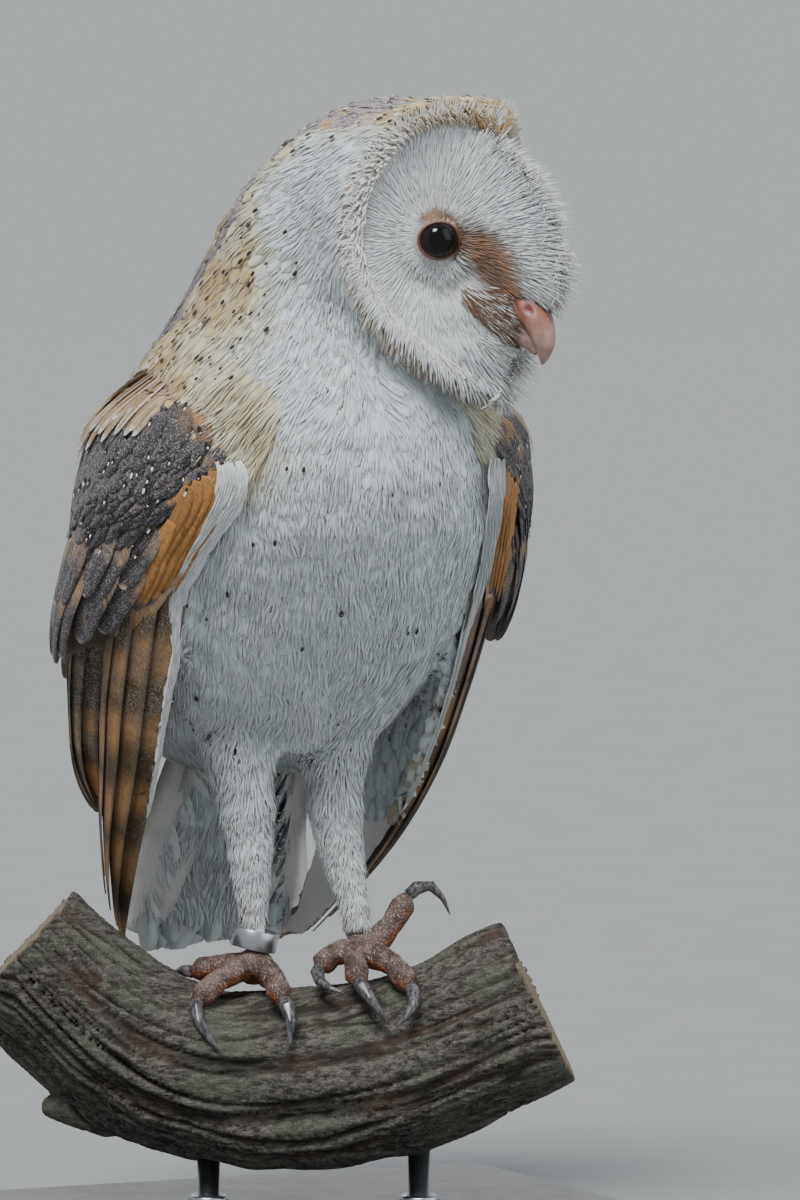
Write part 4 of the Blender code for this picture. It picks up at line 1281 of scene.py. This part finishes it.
def make_eyes(material):
    """Both eyeballs in one piece, with a bulging cornea and a dark pupil."""
    steps, around = 40, 48
    rings, quads, caps, masks = [], [], [], []
    for number, side in enumerate((-1, 1)):
        axis, outer, rise, centre = eye_frame(side)
        angles = np.radians(np.linspace(0.5, 179.5, steps))
        turn = np.linspace(0, 2 * math.pi, around, endpoint=False)
        bulge = EYE_RADIUS * (1 + 0.075 * ease((50 - np.degrees(angles)) / 32))
        ring = (axis * (bulge * np.cos(angles))[:, None, None]
                + outer * (bulge * np.sin(angles))[:, None, None] * np.cos(turn)[:, None]
                + rise * (bulge * np.sin(angles))[:, None, None] * np.sin(turn)[:, None]) + centre
        index = grid(steps, around, number * steps * around)
        quads.append(wall(index))
        caps += [index[:1, ::-1], index[-1:]]
        masks.append(np.repeat(ease((34 - np.degrees(angles)) / 5), around))
        rings.append(ring.reshape(-1, 3))
    obj = new_object("eyes", np.concatenate(rings), [np.concatenate(quads), np.concatenate(caps)])
    outward_faces(obj)
    set_attribute(obj, "pupil", np.concatenate(masks))
    dress(obj, material, "eye", "eye_right", "eye_left")


def make_lids(skin, material):
    """A thin fleshy rim round each eye, drawn out to a corner near the bill, and its slope to the skin."""
    profile = ((6, 7.7), (0, 8.0), (0, 8.60), (1.5, 8.76), (3.5, 8.84), (6, 8.80), (8, 8.68))
    turn = np.linspace(0, 2 * math.pi, 96, endpoint=False)
    for side, word in ((-1, "right"), (1, "left")):
        rings = [lid_ring(side, turn, step, radius + 0.08 * np.sin(turn * 19 + step)[:, None] * (step > 2))[0]
                 for step, radius in profile]
        rings += [lid_skirt(skin, side, turn, share)[0] for share in (0.35, 0.7)]
        edge, _, ups = lid_skirt(skin, side, turn, 1.0)
        rings += [edge - ups * 0.3, edge - ups * 1.2, lid_ring(side, turn, 26, 7.6)[0]]
        rings = np.stack(rings, axis=1)
        obj = new_object(f"lid_{word}", rings.reshape(-1, 3), [wall(grid(*rings.shape[:2]), closed=True)])
        outward_faces(obj)
        set_attribute(obj, "margin", np.tile((1, 1, 1, 0.8, 0.4, 0.1, 0, 0, 0, 0, 0, 0), len(turn)))
        set_attribute(obj, "downy", np.tile((0, 0, 0, 0, 0, 0, 0.3, 1, 1, 1, 1, 1), len(turn)))
        set_attribute(obj, "corner", np.repeat(lid_corner(turn), rings.shape[1]))
        dress(obj, material, "bill")


def make_bill(name, table, material, node):
    """Half of the bill: rings along a curve, with the cere and nostrils on the upper half."""
    upper = name == "bill_upper"
    steps, around = 44, 36
    keys = np.linspace(0, len(table) - 1, steps)
    rows = smooth_rows([(i, *row) for i, row in enumerate(table)], keys)
    centres = head_place(rows[:, 0], 0 * keys, rows[:, 1])
    along = unit(np.gradient(centres, axis=0))
    lift = unit(np.cross(along, ASIDE))
    lift *= np.sign((lift * (UP + AHEAD)).sum(1, keepdims=True))
    turn = np.linspace(0, 2 * math.pi, around, endpoint=False)
    share = keys / keys[-1]
    across = np.maximum(rows[:, 2], 0.12)[:, None] * np.sin(turn)
    ridge = 1 + (0.10 * np.exp(-((np.degrees(turn) % 360 / 18) ** 2)) if upper else 0)
    deep = np.maximum(rows[:, 3], 0.12)[:, None] * np.cos(turn) * ridge
    nostril = np.zeros((steps, around))
    if upper:
        for angle in (62, 298):
            gap = (np.degrees(turn) - angle) / 15
            nostril += np.exp(-(((share - 0.27) / 0.055) ** 2))[:, None] * np.exp(-(gap**2))
        cere = 1 + 0.05 * np.exp(-(((share - 0.22) / 0.12) ** 2))[:, None]
        shrink = cere * (1 - 0.20 * nostril)
        across, deep = across * shrink, deep * shrink
    rings = centres[:, None] + ASIDE * across[..., None] + lift[:, None] * deep[..., None]
    obj = loft(name + "_horn", rings, material, "bill", node)
    set_attribute(obj, "share", np.repeat(share, around))
    set_attribute(obj, "nostril", ease(nostril.ravel() * 1.4))


# Wings and tail


def wing_surface(layer, side, height, share):
    """Places on the outer face of a folded wing layer, and the direction out of it."""
    row = smooth_rows(layer, height)
    lead, out, trail = row[..., 0:2], row[..., 2:4], row[..., 4:6]
    bend = out * 2 - (lead + trail) / 2
    s = np.asarray(share, float)[..., None]
    point = lead * (1 - s) ** 2 + bend * 2 * s * (1 - s) + trail * s**2
    along = (bend - lead) * (1 - s) + (trail - bend) * s
    outward = unit(np.stack([along[..., 1], -along[..., 0]], axis=-1))
    spread = WING_SPREAD[side]
    place = np.stack([point[..., 0] * spread, point[..., 1], height + row[..., 7] * (1 - s[..., 0])], axis=-1)
    return place, np.stack([outward[..., 0] * np.sign(spread), outward[..., 1], 0 * height], axis=-1)


def wing_path(layer, side, top, share, length, drift, base, lift, shares):
    """Midlines that hang down the outer face of a wing layer, and the directions out of it."""
    height = top[:, None] - length[:, None] * shares
    places, out = wing_surface(layer, side, height, np.clip(share[:, None] + drift * shares, -0.05, 1.02))
    return places + out * (base + lift * shares)[..., None], out


def wing_front(side, height, share):
    """Places along the front of the whole folded wing, and the direction out of it."""
    upper, lower = (wing_surface(layer, side, height, share) for layer in (COVERTS, PRIMARIES))
    part = ease((height - 118) / 20)
    return blend(lower[0], upper[0], part), unit(blend(lower[1], upper[1], part))


def make_underwing(skin, hair):
    """White feathers on the inside and along the front edge of the wings, and under the tail."""
    coat = Coat("coat_underwing", skin, 0.3)
    out = skin.facing[:, 0] * np.sign(skin.centre[:, 0])
    wing = np.char.startswith(skin.label, "wing") & (skin.centre[:, 2] > 62)
    inner = wing & (out + 0.35 * skin.facing[:, 1] < -0.35) & (skin.facing[:, 2] > -0.6)
    under = (skin.label == "tail") & (skin.facing[:, 1] < 0.1) & (skin.centre[:, 2] > 24)
    for chosen, spacing, length, width, base in ((inner, 3.8, 9.5, 6.8, 0.3), (under, 4.3, 17.0, 10.0, 1.7)):
        roots, normals = skin.scatter(chosen, spacing)
        upper = np.maximum(ease((normals[:, 1] - 0.25) / 0.3), ease((roots[:, 2] - 198) / 8))
        tint = blend(np.tile(WHITE, (len(roots), 1)), BUFF * 0.7, upper) * jitter(len(roots), 0.03)[:, None]
        add_vanes(coat, roots, normals, lie_of_body(roots, normals), length, width, 0.25, tint, arch=0.03,
                  base=base)
    roots, normals = skin.scatter(under, 3.3)
    white = WHITE + 0 * roots
    add_locks(coat, roots, normals, combed(roots, normals), 11.0, 0.95, 4, 3.2, 0.30, 0.8, white, base=1.5)
    kinds = ((VANE, VANE_SHARES, VANE_WIDTHS, 240, 3.2, 0.0),
             (SPIKE, SPIKE_SHARES, SPIKE_WIDTHS, 1500, 0.55, 0.8))
    for side in SIDES:
        for ring, shares, wide, count, width, loose in kinds:
            top = rng.uniform(70, 188, count)
            broad = np.interp(top, (70, 120, 150, 188), (0.010, 0.018, 0.034, 0.05))
            share = rng.uniform(-0.022, 1, count) * broad
            length = np.interp(top, (40, 120, 188), (8.0, 10.0, 11.0)) * jitter(count, 0.25)
            height = top[:, None] - length[:, None] * shares
            places, ups = wing_front(side, height, share[:, None] + 0 * shares)
            rise = 1.5 + loose * rng.uniform(0.4, 1.2, count)[:, None] + 0.5 * shares
            narrowed = np.interp(top, (70, 120, 160), (0.45, 0.7, 1.0))
            widths = wide * (width * 0.5 * narrowed * jitter(count, 0.2))[:, None]
            tint = WHITE * 1.02 * jitter(count, 0.03)[:, None]
            coat.add(places + ups * rise[..., None], ups, widths, ring, 0.12, 0.15, tint)
    coat.finish(hair, "white_plumage")


def add_wing_flecks(coat, side):
    """Small white drops with a dark tip above, scattered over the coverts."""
    count = 80
    share, top = rng.uniform(0.03, 0.95, count), rng.uniform(150, 221, count)
    for drop, length, width, tint in ((0.0, 2.0, 1.2, DUSK * 0.3), (1.4, 1.9, 0.75, WHITE)):
        size = jitter(count, 0.35)
        bases = np.full((count, 1), 1.25)
        path, ups = wing_path(COVERTS, side, top - drop, share, length * size, 0.0, bases, 0.25, VANE_SHARES)
        coat.add(path, ups, VANE_WIDTHS * (width * 0.5 * size)[:, None], VANE, 0.2, 0.2, tint)


def add_front_coverts(coat, side):
    """Long smooth orange feathers along the front of the wing, below the wrist."""
    for top, base in ((186, 1.0), (172, 1.3), (160, 1.6)):
        count = 5
        share = np.linspace(0.042, 0.112, count) + rng.uniform(-0.004, 0.004, count)
        tops = top + np.linspace(0, -8, count)
        lengths = 26.0 * jitter(count, 0.1)
        bases = np.full((count, 1), base)
        path, ups = wing_path(COVERTS, side, tops, share, lengths, 0.0, bases, 0.3, FLIGHT_SHARES)
        tint = np.array((0.40, 0.19, 0.058)) * jitter(count, 0.15)[:, None]
        pepper = 0.25 + 0.5 * ease((FLIGHT_SHARES - 0.75) / 0.2) * (top < 165)
        pepper = pepper[None] + np.zeros((count, 1))
        coat.add(path, ups, flight_widths(count, 6.5, 0.2), BROAD, 0.08, 0.2, tint, pepper, tilt=0.05)


def make_coverts(skin, side, plumage):
    """Rows of coverts: small and close near the shoulder, long and separate below, and striped scapulars."""
    coat = Coat(f"coat_coverts_{side}", skin, 0.4)
    rows = [(height, 28, 8.5, 4.2) for height in np.arange(223, 168, -2.4)]
    rows += [(height, 20, 12.0, 5.8) for height in np.arange(168, 152, -3.4)]
    for number, (height, count, length, width) in enumerate(rows):
        order = np.arange(count) + 0.5 + 0.5 * (number % 2)
        share = (order + rng.uniform(-0.45, 0.45, count)) / (count + 0.5)
        top = height + rng.uniform(-1.8, 1.8, count)
        share = np.maximum(share, 0.025 + 0.02 * (height < 190))
        seen = (share > 0.11) | (top > 181) | (top < 152)
        share, top = share[seen], top[seen]
        count = len(share)
        lengths = length * jitter(count, 0.22)
        bases = np.full((count, 1), 0.3)
        path, ups = wing_path(COVERTS, side, top, share, lengths, 0.05, bases, 0.5, VANE_SHARES)
        tint, pepper = covert_marks(path, share[:, None])
        widths = VANE_WIDTHS * width * 0.5 * jitter(count, 0.18)[:, None]
        widths = widths * rng.uniform(0.82, 1.18, (count, len(VANE_SHARES)))
        tint = tint * jitter(count, 0.12)[:, None, None]
        coat.add(path, ups, widths, VANE, 0.03, 0.12, tint, pepper, tilt=0.02)
    for top, count, length, width, base in ((159, 12, 25.0, 9.5, 0.3), (151, 10, 34.0, 11.5, 0.2)):
        share = (np.arange(count) + 0.5) / count + rng.uniform(-0.02, 0.02, count)
        tops = top + rng.uniform(-2.5, 2.5, count)
        bases = 0.1 + (base + 0.1 * np.arange(count))[:, None] * ease(FLIGHT_SHARES / 0.35)
        lengths = length * (1 + 0.32 * share) * jitter(count, 0.10)
        path, ups = wing_path(COVERTS, side, tops, share, lengths, 0.03, bases, 0.6, FLIGHT_SHARES)
        tint, pepper = covert_marks(path, share[:, None])
        front = ease((0.14 - share) / 0.08)[:, None]
        outer = 0.52 + 0.48 * ease((FLIGHT_SHARES - 0.3) / 0.3)
        pepper = np.clip(outer * (1 - 0.75 * front) * rng.uniform(0.8, 1.15, (count, 1)), 0, 1)
        tip = ease((FLIGHT_SHARES - 0.90) / 0.07)[:, None]
        edged = np.maximum(tip, ease((np.abs(BROAD[:, 0]) - 0.75) / 0.2) * 0.4)
        strength = np.maximum(rng.uniform(0.2, 0.9, count), ease((share - 0.75) / 0.1))
        pale = edged[None] * strength[:, None, None]
        pale = np.maximum(pale, 0.9 * BROAD[:, 2])
        mixed = blend(tint, CREAM * 0.55, ease(0.3 + noise(path / 5, 33)) * 0.6)
        coat.add(path, ups, flight_widths(count, width, 0.1), BROAD, 0.12, 0.35,
                 blend(mixed[:, :, None], WHITE * 0.8, pale), pepper[:, :, None] * (1 - pale * 0.8),
                 tilt=0.08)
    count = 22
    share = np.linspace(0.18, 0.54, count) + rng.uniform(-0.02, 0.02, count)
    tops = np.full(count, 219.0) + rng.uniform(-5, 5, count)
    sticking = np.linspace(0.9, 2.4, count)[:, None]
    lengths = np.linspace(19, 29, count) * jitter(count, 0.2)
    bases = np.full((count, 1), 0.8)
    path, ups = wing_path(COVERTS, side, tops, share, lengths, 0.10, bases, sticking, FLIGHT_SHARES)
    lines = 0.5 + 0.5 * np.sin(BROAD[:, 0] * 5 + rng.uniform(0, 6, (count, 1, 1)))
    ground = blend(np.tile(CREAM * 0.85, (count, 1)), GOLD * 0.8, rng.uniform(0, 1, count))[:, None, None]
    fade = ease((FLIGHT_SHARES - 0.2) / 0.3)[:, None]
    stripes = blend(ground, np.array((0.20, 0.13, 0.08)), ease(lines * 1.7 - 0.8) * fade)
    tip = ease((FLIGHT_SHARES - 0.84) / 0.1)[:, None] * rng.uniform(0.2, 1, (count, 1, 1))
    stripes = blend(stripes, WHITE, np.broadcast_to(tip, (count, len(FLIGHT_SHARES), len(BROAD))))
    coat.add(path, ups, flight_widths(count, 3.8, 0.3), BROAD, 0.10, 0.2, stripes, 0.30, tilt=0.08)
    add_front_coverts(coat, side)
    add_wing_flecks(coat, side)
    coat.finish(plumage, "grey_plumage")


def make_flight_feathers(skin, plumage):
    """Primaries, secondaries and tail, each feather a broad vane with a raised shaft and dark bars."""
    coat = Coat("flight_feathers", skin, 0.2)
    total = 56
    used = 0
    across = BROAD[:, 0]
    stripe = np.exp(-(((across - 0.25) / 0.3) ** 2)) * 0.75
    edge = ease((np.abs(across + 0.1) - 0.8) / 0.15) * (across < 0)
    for side in SIDES:
        sets = (
            (PRIMARIES, 7, np.linspace(0.08, 0.93, 7), 146.0, np.linspace(137, 96, 7), 13.0, 0.66, 0.4, 0.8),
            (SECONDARIES, 9, np.linspace(0.15, 0.95, 9), 146.0, np.linspace(84, 92, 9), 16.0, 0.25, 0.6, 0.4),
        )
        for layer, count, share, top, length, width, taper, base, striped in sets:
            tops = np.full(count, top)
            order = np.arange(count) * 0.25
            bases = (base + order)[:, None]
            path, ups = wing_path(layer, side, tops, share, length, 0.02, bases, 0.3, FLIGHT_SHARES)
            shifted = path[..., 2] + rng.uniform(-2, 2, (count, 1))
            bars = ease(2.8 * np.sin(shifted * 2 * math.pi / 25) + 0.1)
            gold = np.tile(np.array((0.37, 0.183, 0.052)), (count, 1))
            gold = blend(gold, BUFF * 0.6, rng.uniform(0, 0.4, count))
            tint = blend(np.repeat(gold[:, None], len(FLIGHT_SHARES), axis=1), DUSK * 0.5, bars * 0.9)
            tint = np.repeat(tint[:, :, None], len(BROAD), axis=2)
            tint = blend(tint, DUSK * 0.55, np.broadcast_to(stripe * striped, tint.shape[:3]))
            tint = blend(tint, CREAM * 0.6, np.broadcast_to(edge * 0.4, tint.shape[:3]))
            dusky = 0.52 if layer is PRIMARIES else 0.66
            tips = ease((FLIGHT_SHARES - 0.80) / 0.2)
            upper = ease((path[..., 2] - 78) / 20)
            pepper = np.clip(dusky * (0.45 + 0.55 * upper + 0.6 * noise(path / 8, 41)) - 0.3 * tips, 0, 1)
            tint = blend(tint, WHITE * 0.92, np.broadcast_to(BROAD[:, 2], tint.shape[:3]))
            pepper = pepper[..., None] * 0.9 * (1 - BROAD[:, 2])
            coat.add(path, ups, flight_widths(count, width, taper), BROAD, 0.10, 0.5, tint, pepper,
                     atlas(count, used, total), 0.10)
            used += count
    for back in (1, -1):
        count = 12 if back > 0 else 6
        share = np.linspace(-0.9, 0.9, count)
        height = 97.0 - (88.0 - 5 * np.abs(share))[:, None] * FLIGHT_SHARES
        middle, half_width, half_depth = np.moveaxis(smooth_rows(TAIL, height), -1, 0)
        x = half_width * share[:, None]
        y = middle + back * half_depth * np.sqrt(1 - 0.9 * share[:, None] ** 2) * 0.85
        out = unit(np.stack([0.35 * share[:, None] + 0 * x, back + 0 * x, 0 * x], axis=-1))
        from_middle = np.abs(np.arange(count) - (count - 1) / 2)[:, None, None]
        path = np.stack([x, y, height], axis=-1) + out * (0.2 + 0.10 * from_middle)
        bars = ease(2.6 * np.sin((height + 4) * 2 * math.pi / 23) - 1.2)
        plain = GOLD * 0.8 if back > 0 else WHITE
        barred = bars * (0.85 if back > 0 else 0.15)
        tint = blend(np.tile(plain, (count, len(FLIGHT_SHARES), 1)), DUSK, barred)
        tint = blend(tint, WHITE * 0.95, np.tile(ease((FLIGHT_SHARES - 0.93) / 0.05) * 0.5, (count, 1)))
        pepper = (0.75 if back > 0 else 0.0) * (0.7 + 0.6 * noise(path / 8, 43))
        tint = np.repeat(tint[:, :, None], len(BROAD), axis=2)
        tint = blend(tint, WHITE * 0.92, np.broadcast_to(BROAD[:, 2], tint.shape[:3]))
        pepper = pepper[..., None] * (1 - BROAD[:, 2])
        widths = flight_widths(count, 13.0 if back > 0 else 22.0, 0.0)
        coat.add(path, out, widths, BROAD, 0.08, 0.5, tint, pepper, atlas(count, used, total), 0.08)
        used += count
    coat.finish(plumage, "flight_feathers")


# Feet, perch and stand


def make_feet(skin, material, hair):
    """Scaly feet and toes with raised pads and a few thin bristles."""
    feet = remeshed("feet_skin", ["foot_right", "foot_left", *TOES], 0.75, 0.2, 2)
    points, normals = mesh_points(feet), mesh_normals(feet)
    scale = noise(points / 1.7, 51) * 0.5 + noise(points / 0.9, 52) * 0.25
    under = ease((-normals[:, 2] + 0.15) / 0.6)
    swell = 0.35 * scale * (1 - 0.4 * under) + 0.35 * under * noise(points / 4.5, 53)
    set_points(feet, points + normals * (swell - 0.05)[:, None])
    side = ease((0.15 - normals[:, 2]) / 0.5)
    set_attribute(feet, "pad", np.clip(side * (0.6 + 0.6 * noise(points / 6, 54)), 0, 1))
    dress(feet, material, "foot_skin", "foot_right", "foot_left", *TOES)
    coat = Coat("coat_toes", skin)
    chosen = (rng.random(len(points)) < 0.024) & (normals[:, 2] > 0.1)
    roots, normals = mesh_points(feet)[chosen], mesh_normals(feet)[chosen]
    count = len(roots)
    flow = unit(np.array((0.0, -0.7, -0.6)) + normals * 0.45 + rng.normal(0, 0.25, (count, 3)))
    run = (rng.uniform(1.8, 4.0, count)[:, None] * SPIKE_SHARES)[..., None]
    path = roots[:, None] + flow[:, None] * run
    widths = SPIKE_WIDTHS * 0.10 * jitter(count, 0.2)[:, None]
    ups = np.repeat(normals[:, None], len(SPIKE_SHARES), axis=1)
    coat.add(path, ups, widths, SPIKE, 0.8, tint=np.array((0.56, 0.50, 0.45)))
    coat.finish(hair, "white_plumage")


def make_talons(material):
    """The eight curved claws in one piece."""
    talons = remeshed("talons", TALONS, 0.38, 0.05, 3)
    dress(talons, material, "talon", *TALONS)


def make_ring(material):
    """Plain closed leg ring, tilted as it hangs."""
    centre = BRANCH_ALONG * RING_PLACE[0] + BRANCH_ACROSS * RING_PLACE[1] + UP * RING_PLACE[2]
    axis = UP * math.cos(RING_TILT) + BRANCH_ALONG * math.sin(RING_TILT)
    aside = unit(np.cross(BRANCH_ACROSS, axis))
    ahead = np.cross(axis, aside)
    profile = ((7.35, -3.2), (7.55, -3.45), (8.1, -3.45), (8.3, -3.2),
               (8.3, 3.2), (8.1, 3.45), (7.55, 3.45), (7.35, 3.2))
    turns = np.linspace(0, 2 * math.pi, 96, endpoint=False)
    rings = np.array([[centre + (aside * math.cos(t) + ahead * math.sin(t)) * radius + axis * height
                       for radius, height in profile] for t in turns])
    obj = new_object("ring_band", rings.reshape(-1, 3), [wall(grid(*rings.shape[:2]), closed=True)])
    outward_faces(obj)
    dress(obj, material, "ring_metal", "leg_ring")


def make_perch(material):
    """The branch, with long grooves and splits that run with its grain."""
    perch = remeshed("branch_wood", ["perch"], 1.1, 0.0, 3)
    points, normals = mesh_points(perch), mesh_normals(perch)
    along = points @ BRANCH_ALONG
    across = points @ BRANCH_ACROSS
    rows = smooth_rows(BRANCH, along)
    rise = points[:, 2] - rows[:, 0]
    around = np.arctan2(across, rise)
    radius = np.hypot(across, rise)
    twist = around + 0.10 * np.sin(along / 28)
    ring = np.stack([np.cos(twist) * 9, np.sin(twist) * 9, along / 46], axis=1)
    ridges = np.abs(noise(ring, 61))
    fine = np.abs(noise(np.stack([np.cos(twist) * 24, np.sin(twist) * 24, along / 17], axis=1), 62))
    coarse = np.stack([np.cos(twist) * 3.2, np.sin(twist) * 3.2, along / 70], axis=1)
    split = np.exp(-((noise(coarse, 63) / 0.05) ** 2))
    split *= ease(noise(points / 30, 64) * 2 + 0.4)
    knot = noise(points / 19, 65) * 1.4
    slanted_end = unit(UP * 27 - BRANCH_ALONG * 30)
    facing_end = np.where(along < -76, normals @ slanted_end, (normals @ BRANCH_ALONG) * (along > 74))
    ends = ease((facing_end - 0.78) / 0.12)
    top = ease((normals[:, 2] - 0.2) / 0.4) * ease((44 - np.abs(along + 2)) / 12)
    depth = 2.1 * ease(1 - ridges * 3.0) + 0.9 * ease(1 - fine * 3) + 3.2 * split
    move = (0.9 + knot - depth) * (1 - ends) * (1 - 0.75 * top)
    set_points(perch, points + normals * move[:, None])
    # Depth of each groove, by which the wood material paints it darker: partly dark split wood, partly
    # painted shade.
    set_attribute(perch, "groove", np.clip(depth / 3.0, 0, 1) * (1 - ends))
    set_attribute(perch, "end_grain", ends)
    set_attribute(perch, "radius", radius)
    dress(perch, material, "weathered_wood", "perch")


def make_stand(steel, paint):
    """A flat base with eased edges, and two turned rods with small collars."""
    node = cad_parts["stand_base"]
    bm = bmesh.new()
    bm.from_mesh(node.data)
    bmesh.ops.remove_doubles(bm, verts=bm.verts, dist=1e-5)
    bmesh.ops.dissolve_limit(bm, angle_limit=math.radians(1), verts=bm.verts, edges=bm.edges)
    sharp = [edge for edge in bm.edges
             if len(edge.link_faces) == 2 and edge.calc_face_angle(0) > math.radians(40)]
    bmesh.ops.bevel(bm, geom=sharp, offset=0.0009, segments=3, affect="EDGES")
    mesh = bpy.data.meshes.new("base_slab")
    bm.to_mesh(mesh)
    bm.free()
    base = placed("base_slab", mesh)
    mesh.polygons.foreach_set("use_smooth", np.full(len(mesh.polygons), False))
    dress(base, paint, "stand_base", "stand_base")
    for number in (1, 2):
        low, high = (np.array(corner) / MM - UP * SOLE_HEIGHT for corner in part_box(f"stand_rod_{number}"))
        centre, radius = (low + high) / 2, (high[0] - low[0]) / 2
        turns = np.linspace(0, 2 * math.pi, 64, endpoint=False)
        steps = ((0, radius + 3.0), (2.4, radius + 3.0), (3.2, radius + 2.2), (3.3, radius),
                 (high[2] - low[2], radius))
        rings = [[(centre[0] + r * math.cos(t), centre[1] + r * math.sin(t), low[2] + h) for t in turns]
                 for h, r in steps]
        loft(f"rod_{number}", rings, steel, "stand_rod", f"stand_rod_{number}")


# Studio


def soft_sun(name, place, power, spread, colour):
    """A soft light from the direction of a place, as wide as the spread in degrees."""
    data = bpy.data.lights.new(name, "SUN")
    data.energy, data.color, data.angle = power, colour, math.radians(spread)
    light = placed(name, data)
    light.rotation_euler = (-Vector(place)).to_track_quat("-Z", "Y").to_euler()


def make_studio():
    """A wide plain floor that runs into the backdrop, soft light from the upper left front."""
    bm = bmesh.new()
    bmesh.ops.create_grid(bm, x_segments=8, y_segments=8, size=50.0)
    mesh = bpy.data.meshes.new("floor")
    bm.to_mesh(mesh)
    bm.free()
    floor = placed("floor", mesh)
    floor.data.materials.append(floor_material())
    world = bpy.data.worlds.new("studio")
    bpy.context.scene.world = world
    world.use_nodes = True
    background = world.node_tree.nodes["Background"]
    background.inputs["Color"].default_value = (0.61, 0.64, 0.66, 1)
    background.inputs["Strength"].default_value = 0.78
    soft_sun("key", (-0.9, -1.0, 1.9), 3.9, 24, (1.0, 0.99, 0.97))
    soft_sun("fill", (1.6, -1.5, 0.9), 1.0, 60, (0.95, 0.98, 1.0))
    soft_sun("rim", (0.7, 1.8, 1.5), 0.6, 40, (1.0, 1.0, 1.0))


def make_camera():
    """The photo's view: 25 degrees to the right of the bird's front, a little above it, 2.4 m away."""
    azimuth, elevation, distance = math.radians(-25), math.radians(2.5), 2.4
    right = Vector((math.cos(azimuth), math.sin(azimuth), 0))
    target = right * 0.03325 + Vector((0, 0, SOLE_HEIGHT * MM + 0.1365))
    back = Vector((math.sin(azimuth) * math.cos(elevation), -math.cos(azimuth) * math.cos(elevation),
                   math.sin(elevation)))
    data = bpy.data.cameras.new("camera")
    data.sensor_width = 36.0
    data.lens = 18.0 / (0.21 / distance)
    data.clip_start, data.clip_end = 0.05, 60.0
    camera = placed("camera", data)
    camera.location = target + back * distance
    camera.rotation_mode = "QUATERNION"
    camera.rotation_quaternion = (-back).to_track_quat("-Z", "Y")
    bpy.context.scene.camera = camera


# The whole


def main():
    make_camera()
    make_studio()
    crown = plumage_material("crown_feathers", 0.75, 0.2, 9.0,
                             (0.14, 0.13, 0.145), (0.48, 0.455, 0.47), 0.42)
    mantle = plumage_material("mantle_feathers", 0.75, 0.2, 9.0,
                              (0.055, 0.050, 0.063), (0.26, 0.243, 0.258), 0.44)
    coverts = plumage_material("covert_feathers", 0.75, 0.12, 9.0,
                               (0.055, 0.053, 0.062), (0.29, 0.275, 0.285), 0.50)
    flight = plumage_material("flight_vanes", 0.65, 0.1, 6.0,
                              (0.05, 0.042, 0.04), (0.27, 0.235, 0.20), 0.47)
    hair = hair_material("soft_down")
    skin = make_skin()
    make_breast(skin, hair)
    make_specks(skin, mantle)
    make_shoulders(skin, hair)
    make_mantle(skin, crown, mantle)
    make_legs(skin, hair)
    make_underwing(skin, hair)
    make_face(skin, hair)
    make_ruff(skin, mantle)
    for side in SIDES:
        make_coverts(skin, side, coverts)
    make_flight_feathers(skin, flight)
    make_eyes(eye_material())
    make_lids(skin, lid_material())
    horn = bill_material()
    make_bill("bill_upper", BILL_UPPER, horn, "bill_upper")
    make_bill("bill_lower", BILL_LOWER, horn, "bill_lower")
    make_feet(skin, foot_material(), hair)
    make_talons(talon_material())
    make_ring(steel_material("ring_steel"))
    make_perch(wood_material())
    make_stand(steel_material("rod_steel", stretch=(3.0, 3.0, 0.1)), base_material())


main()
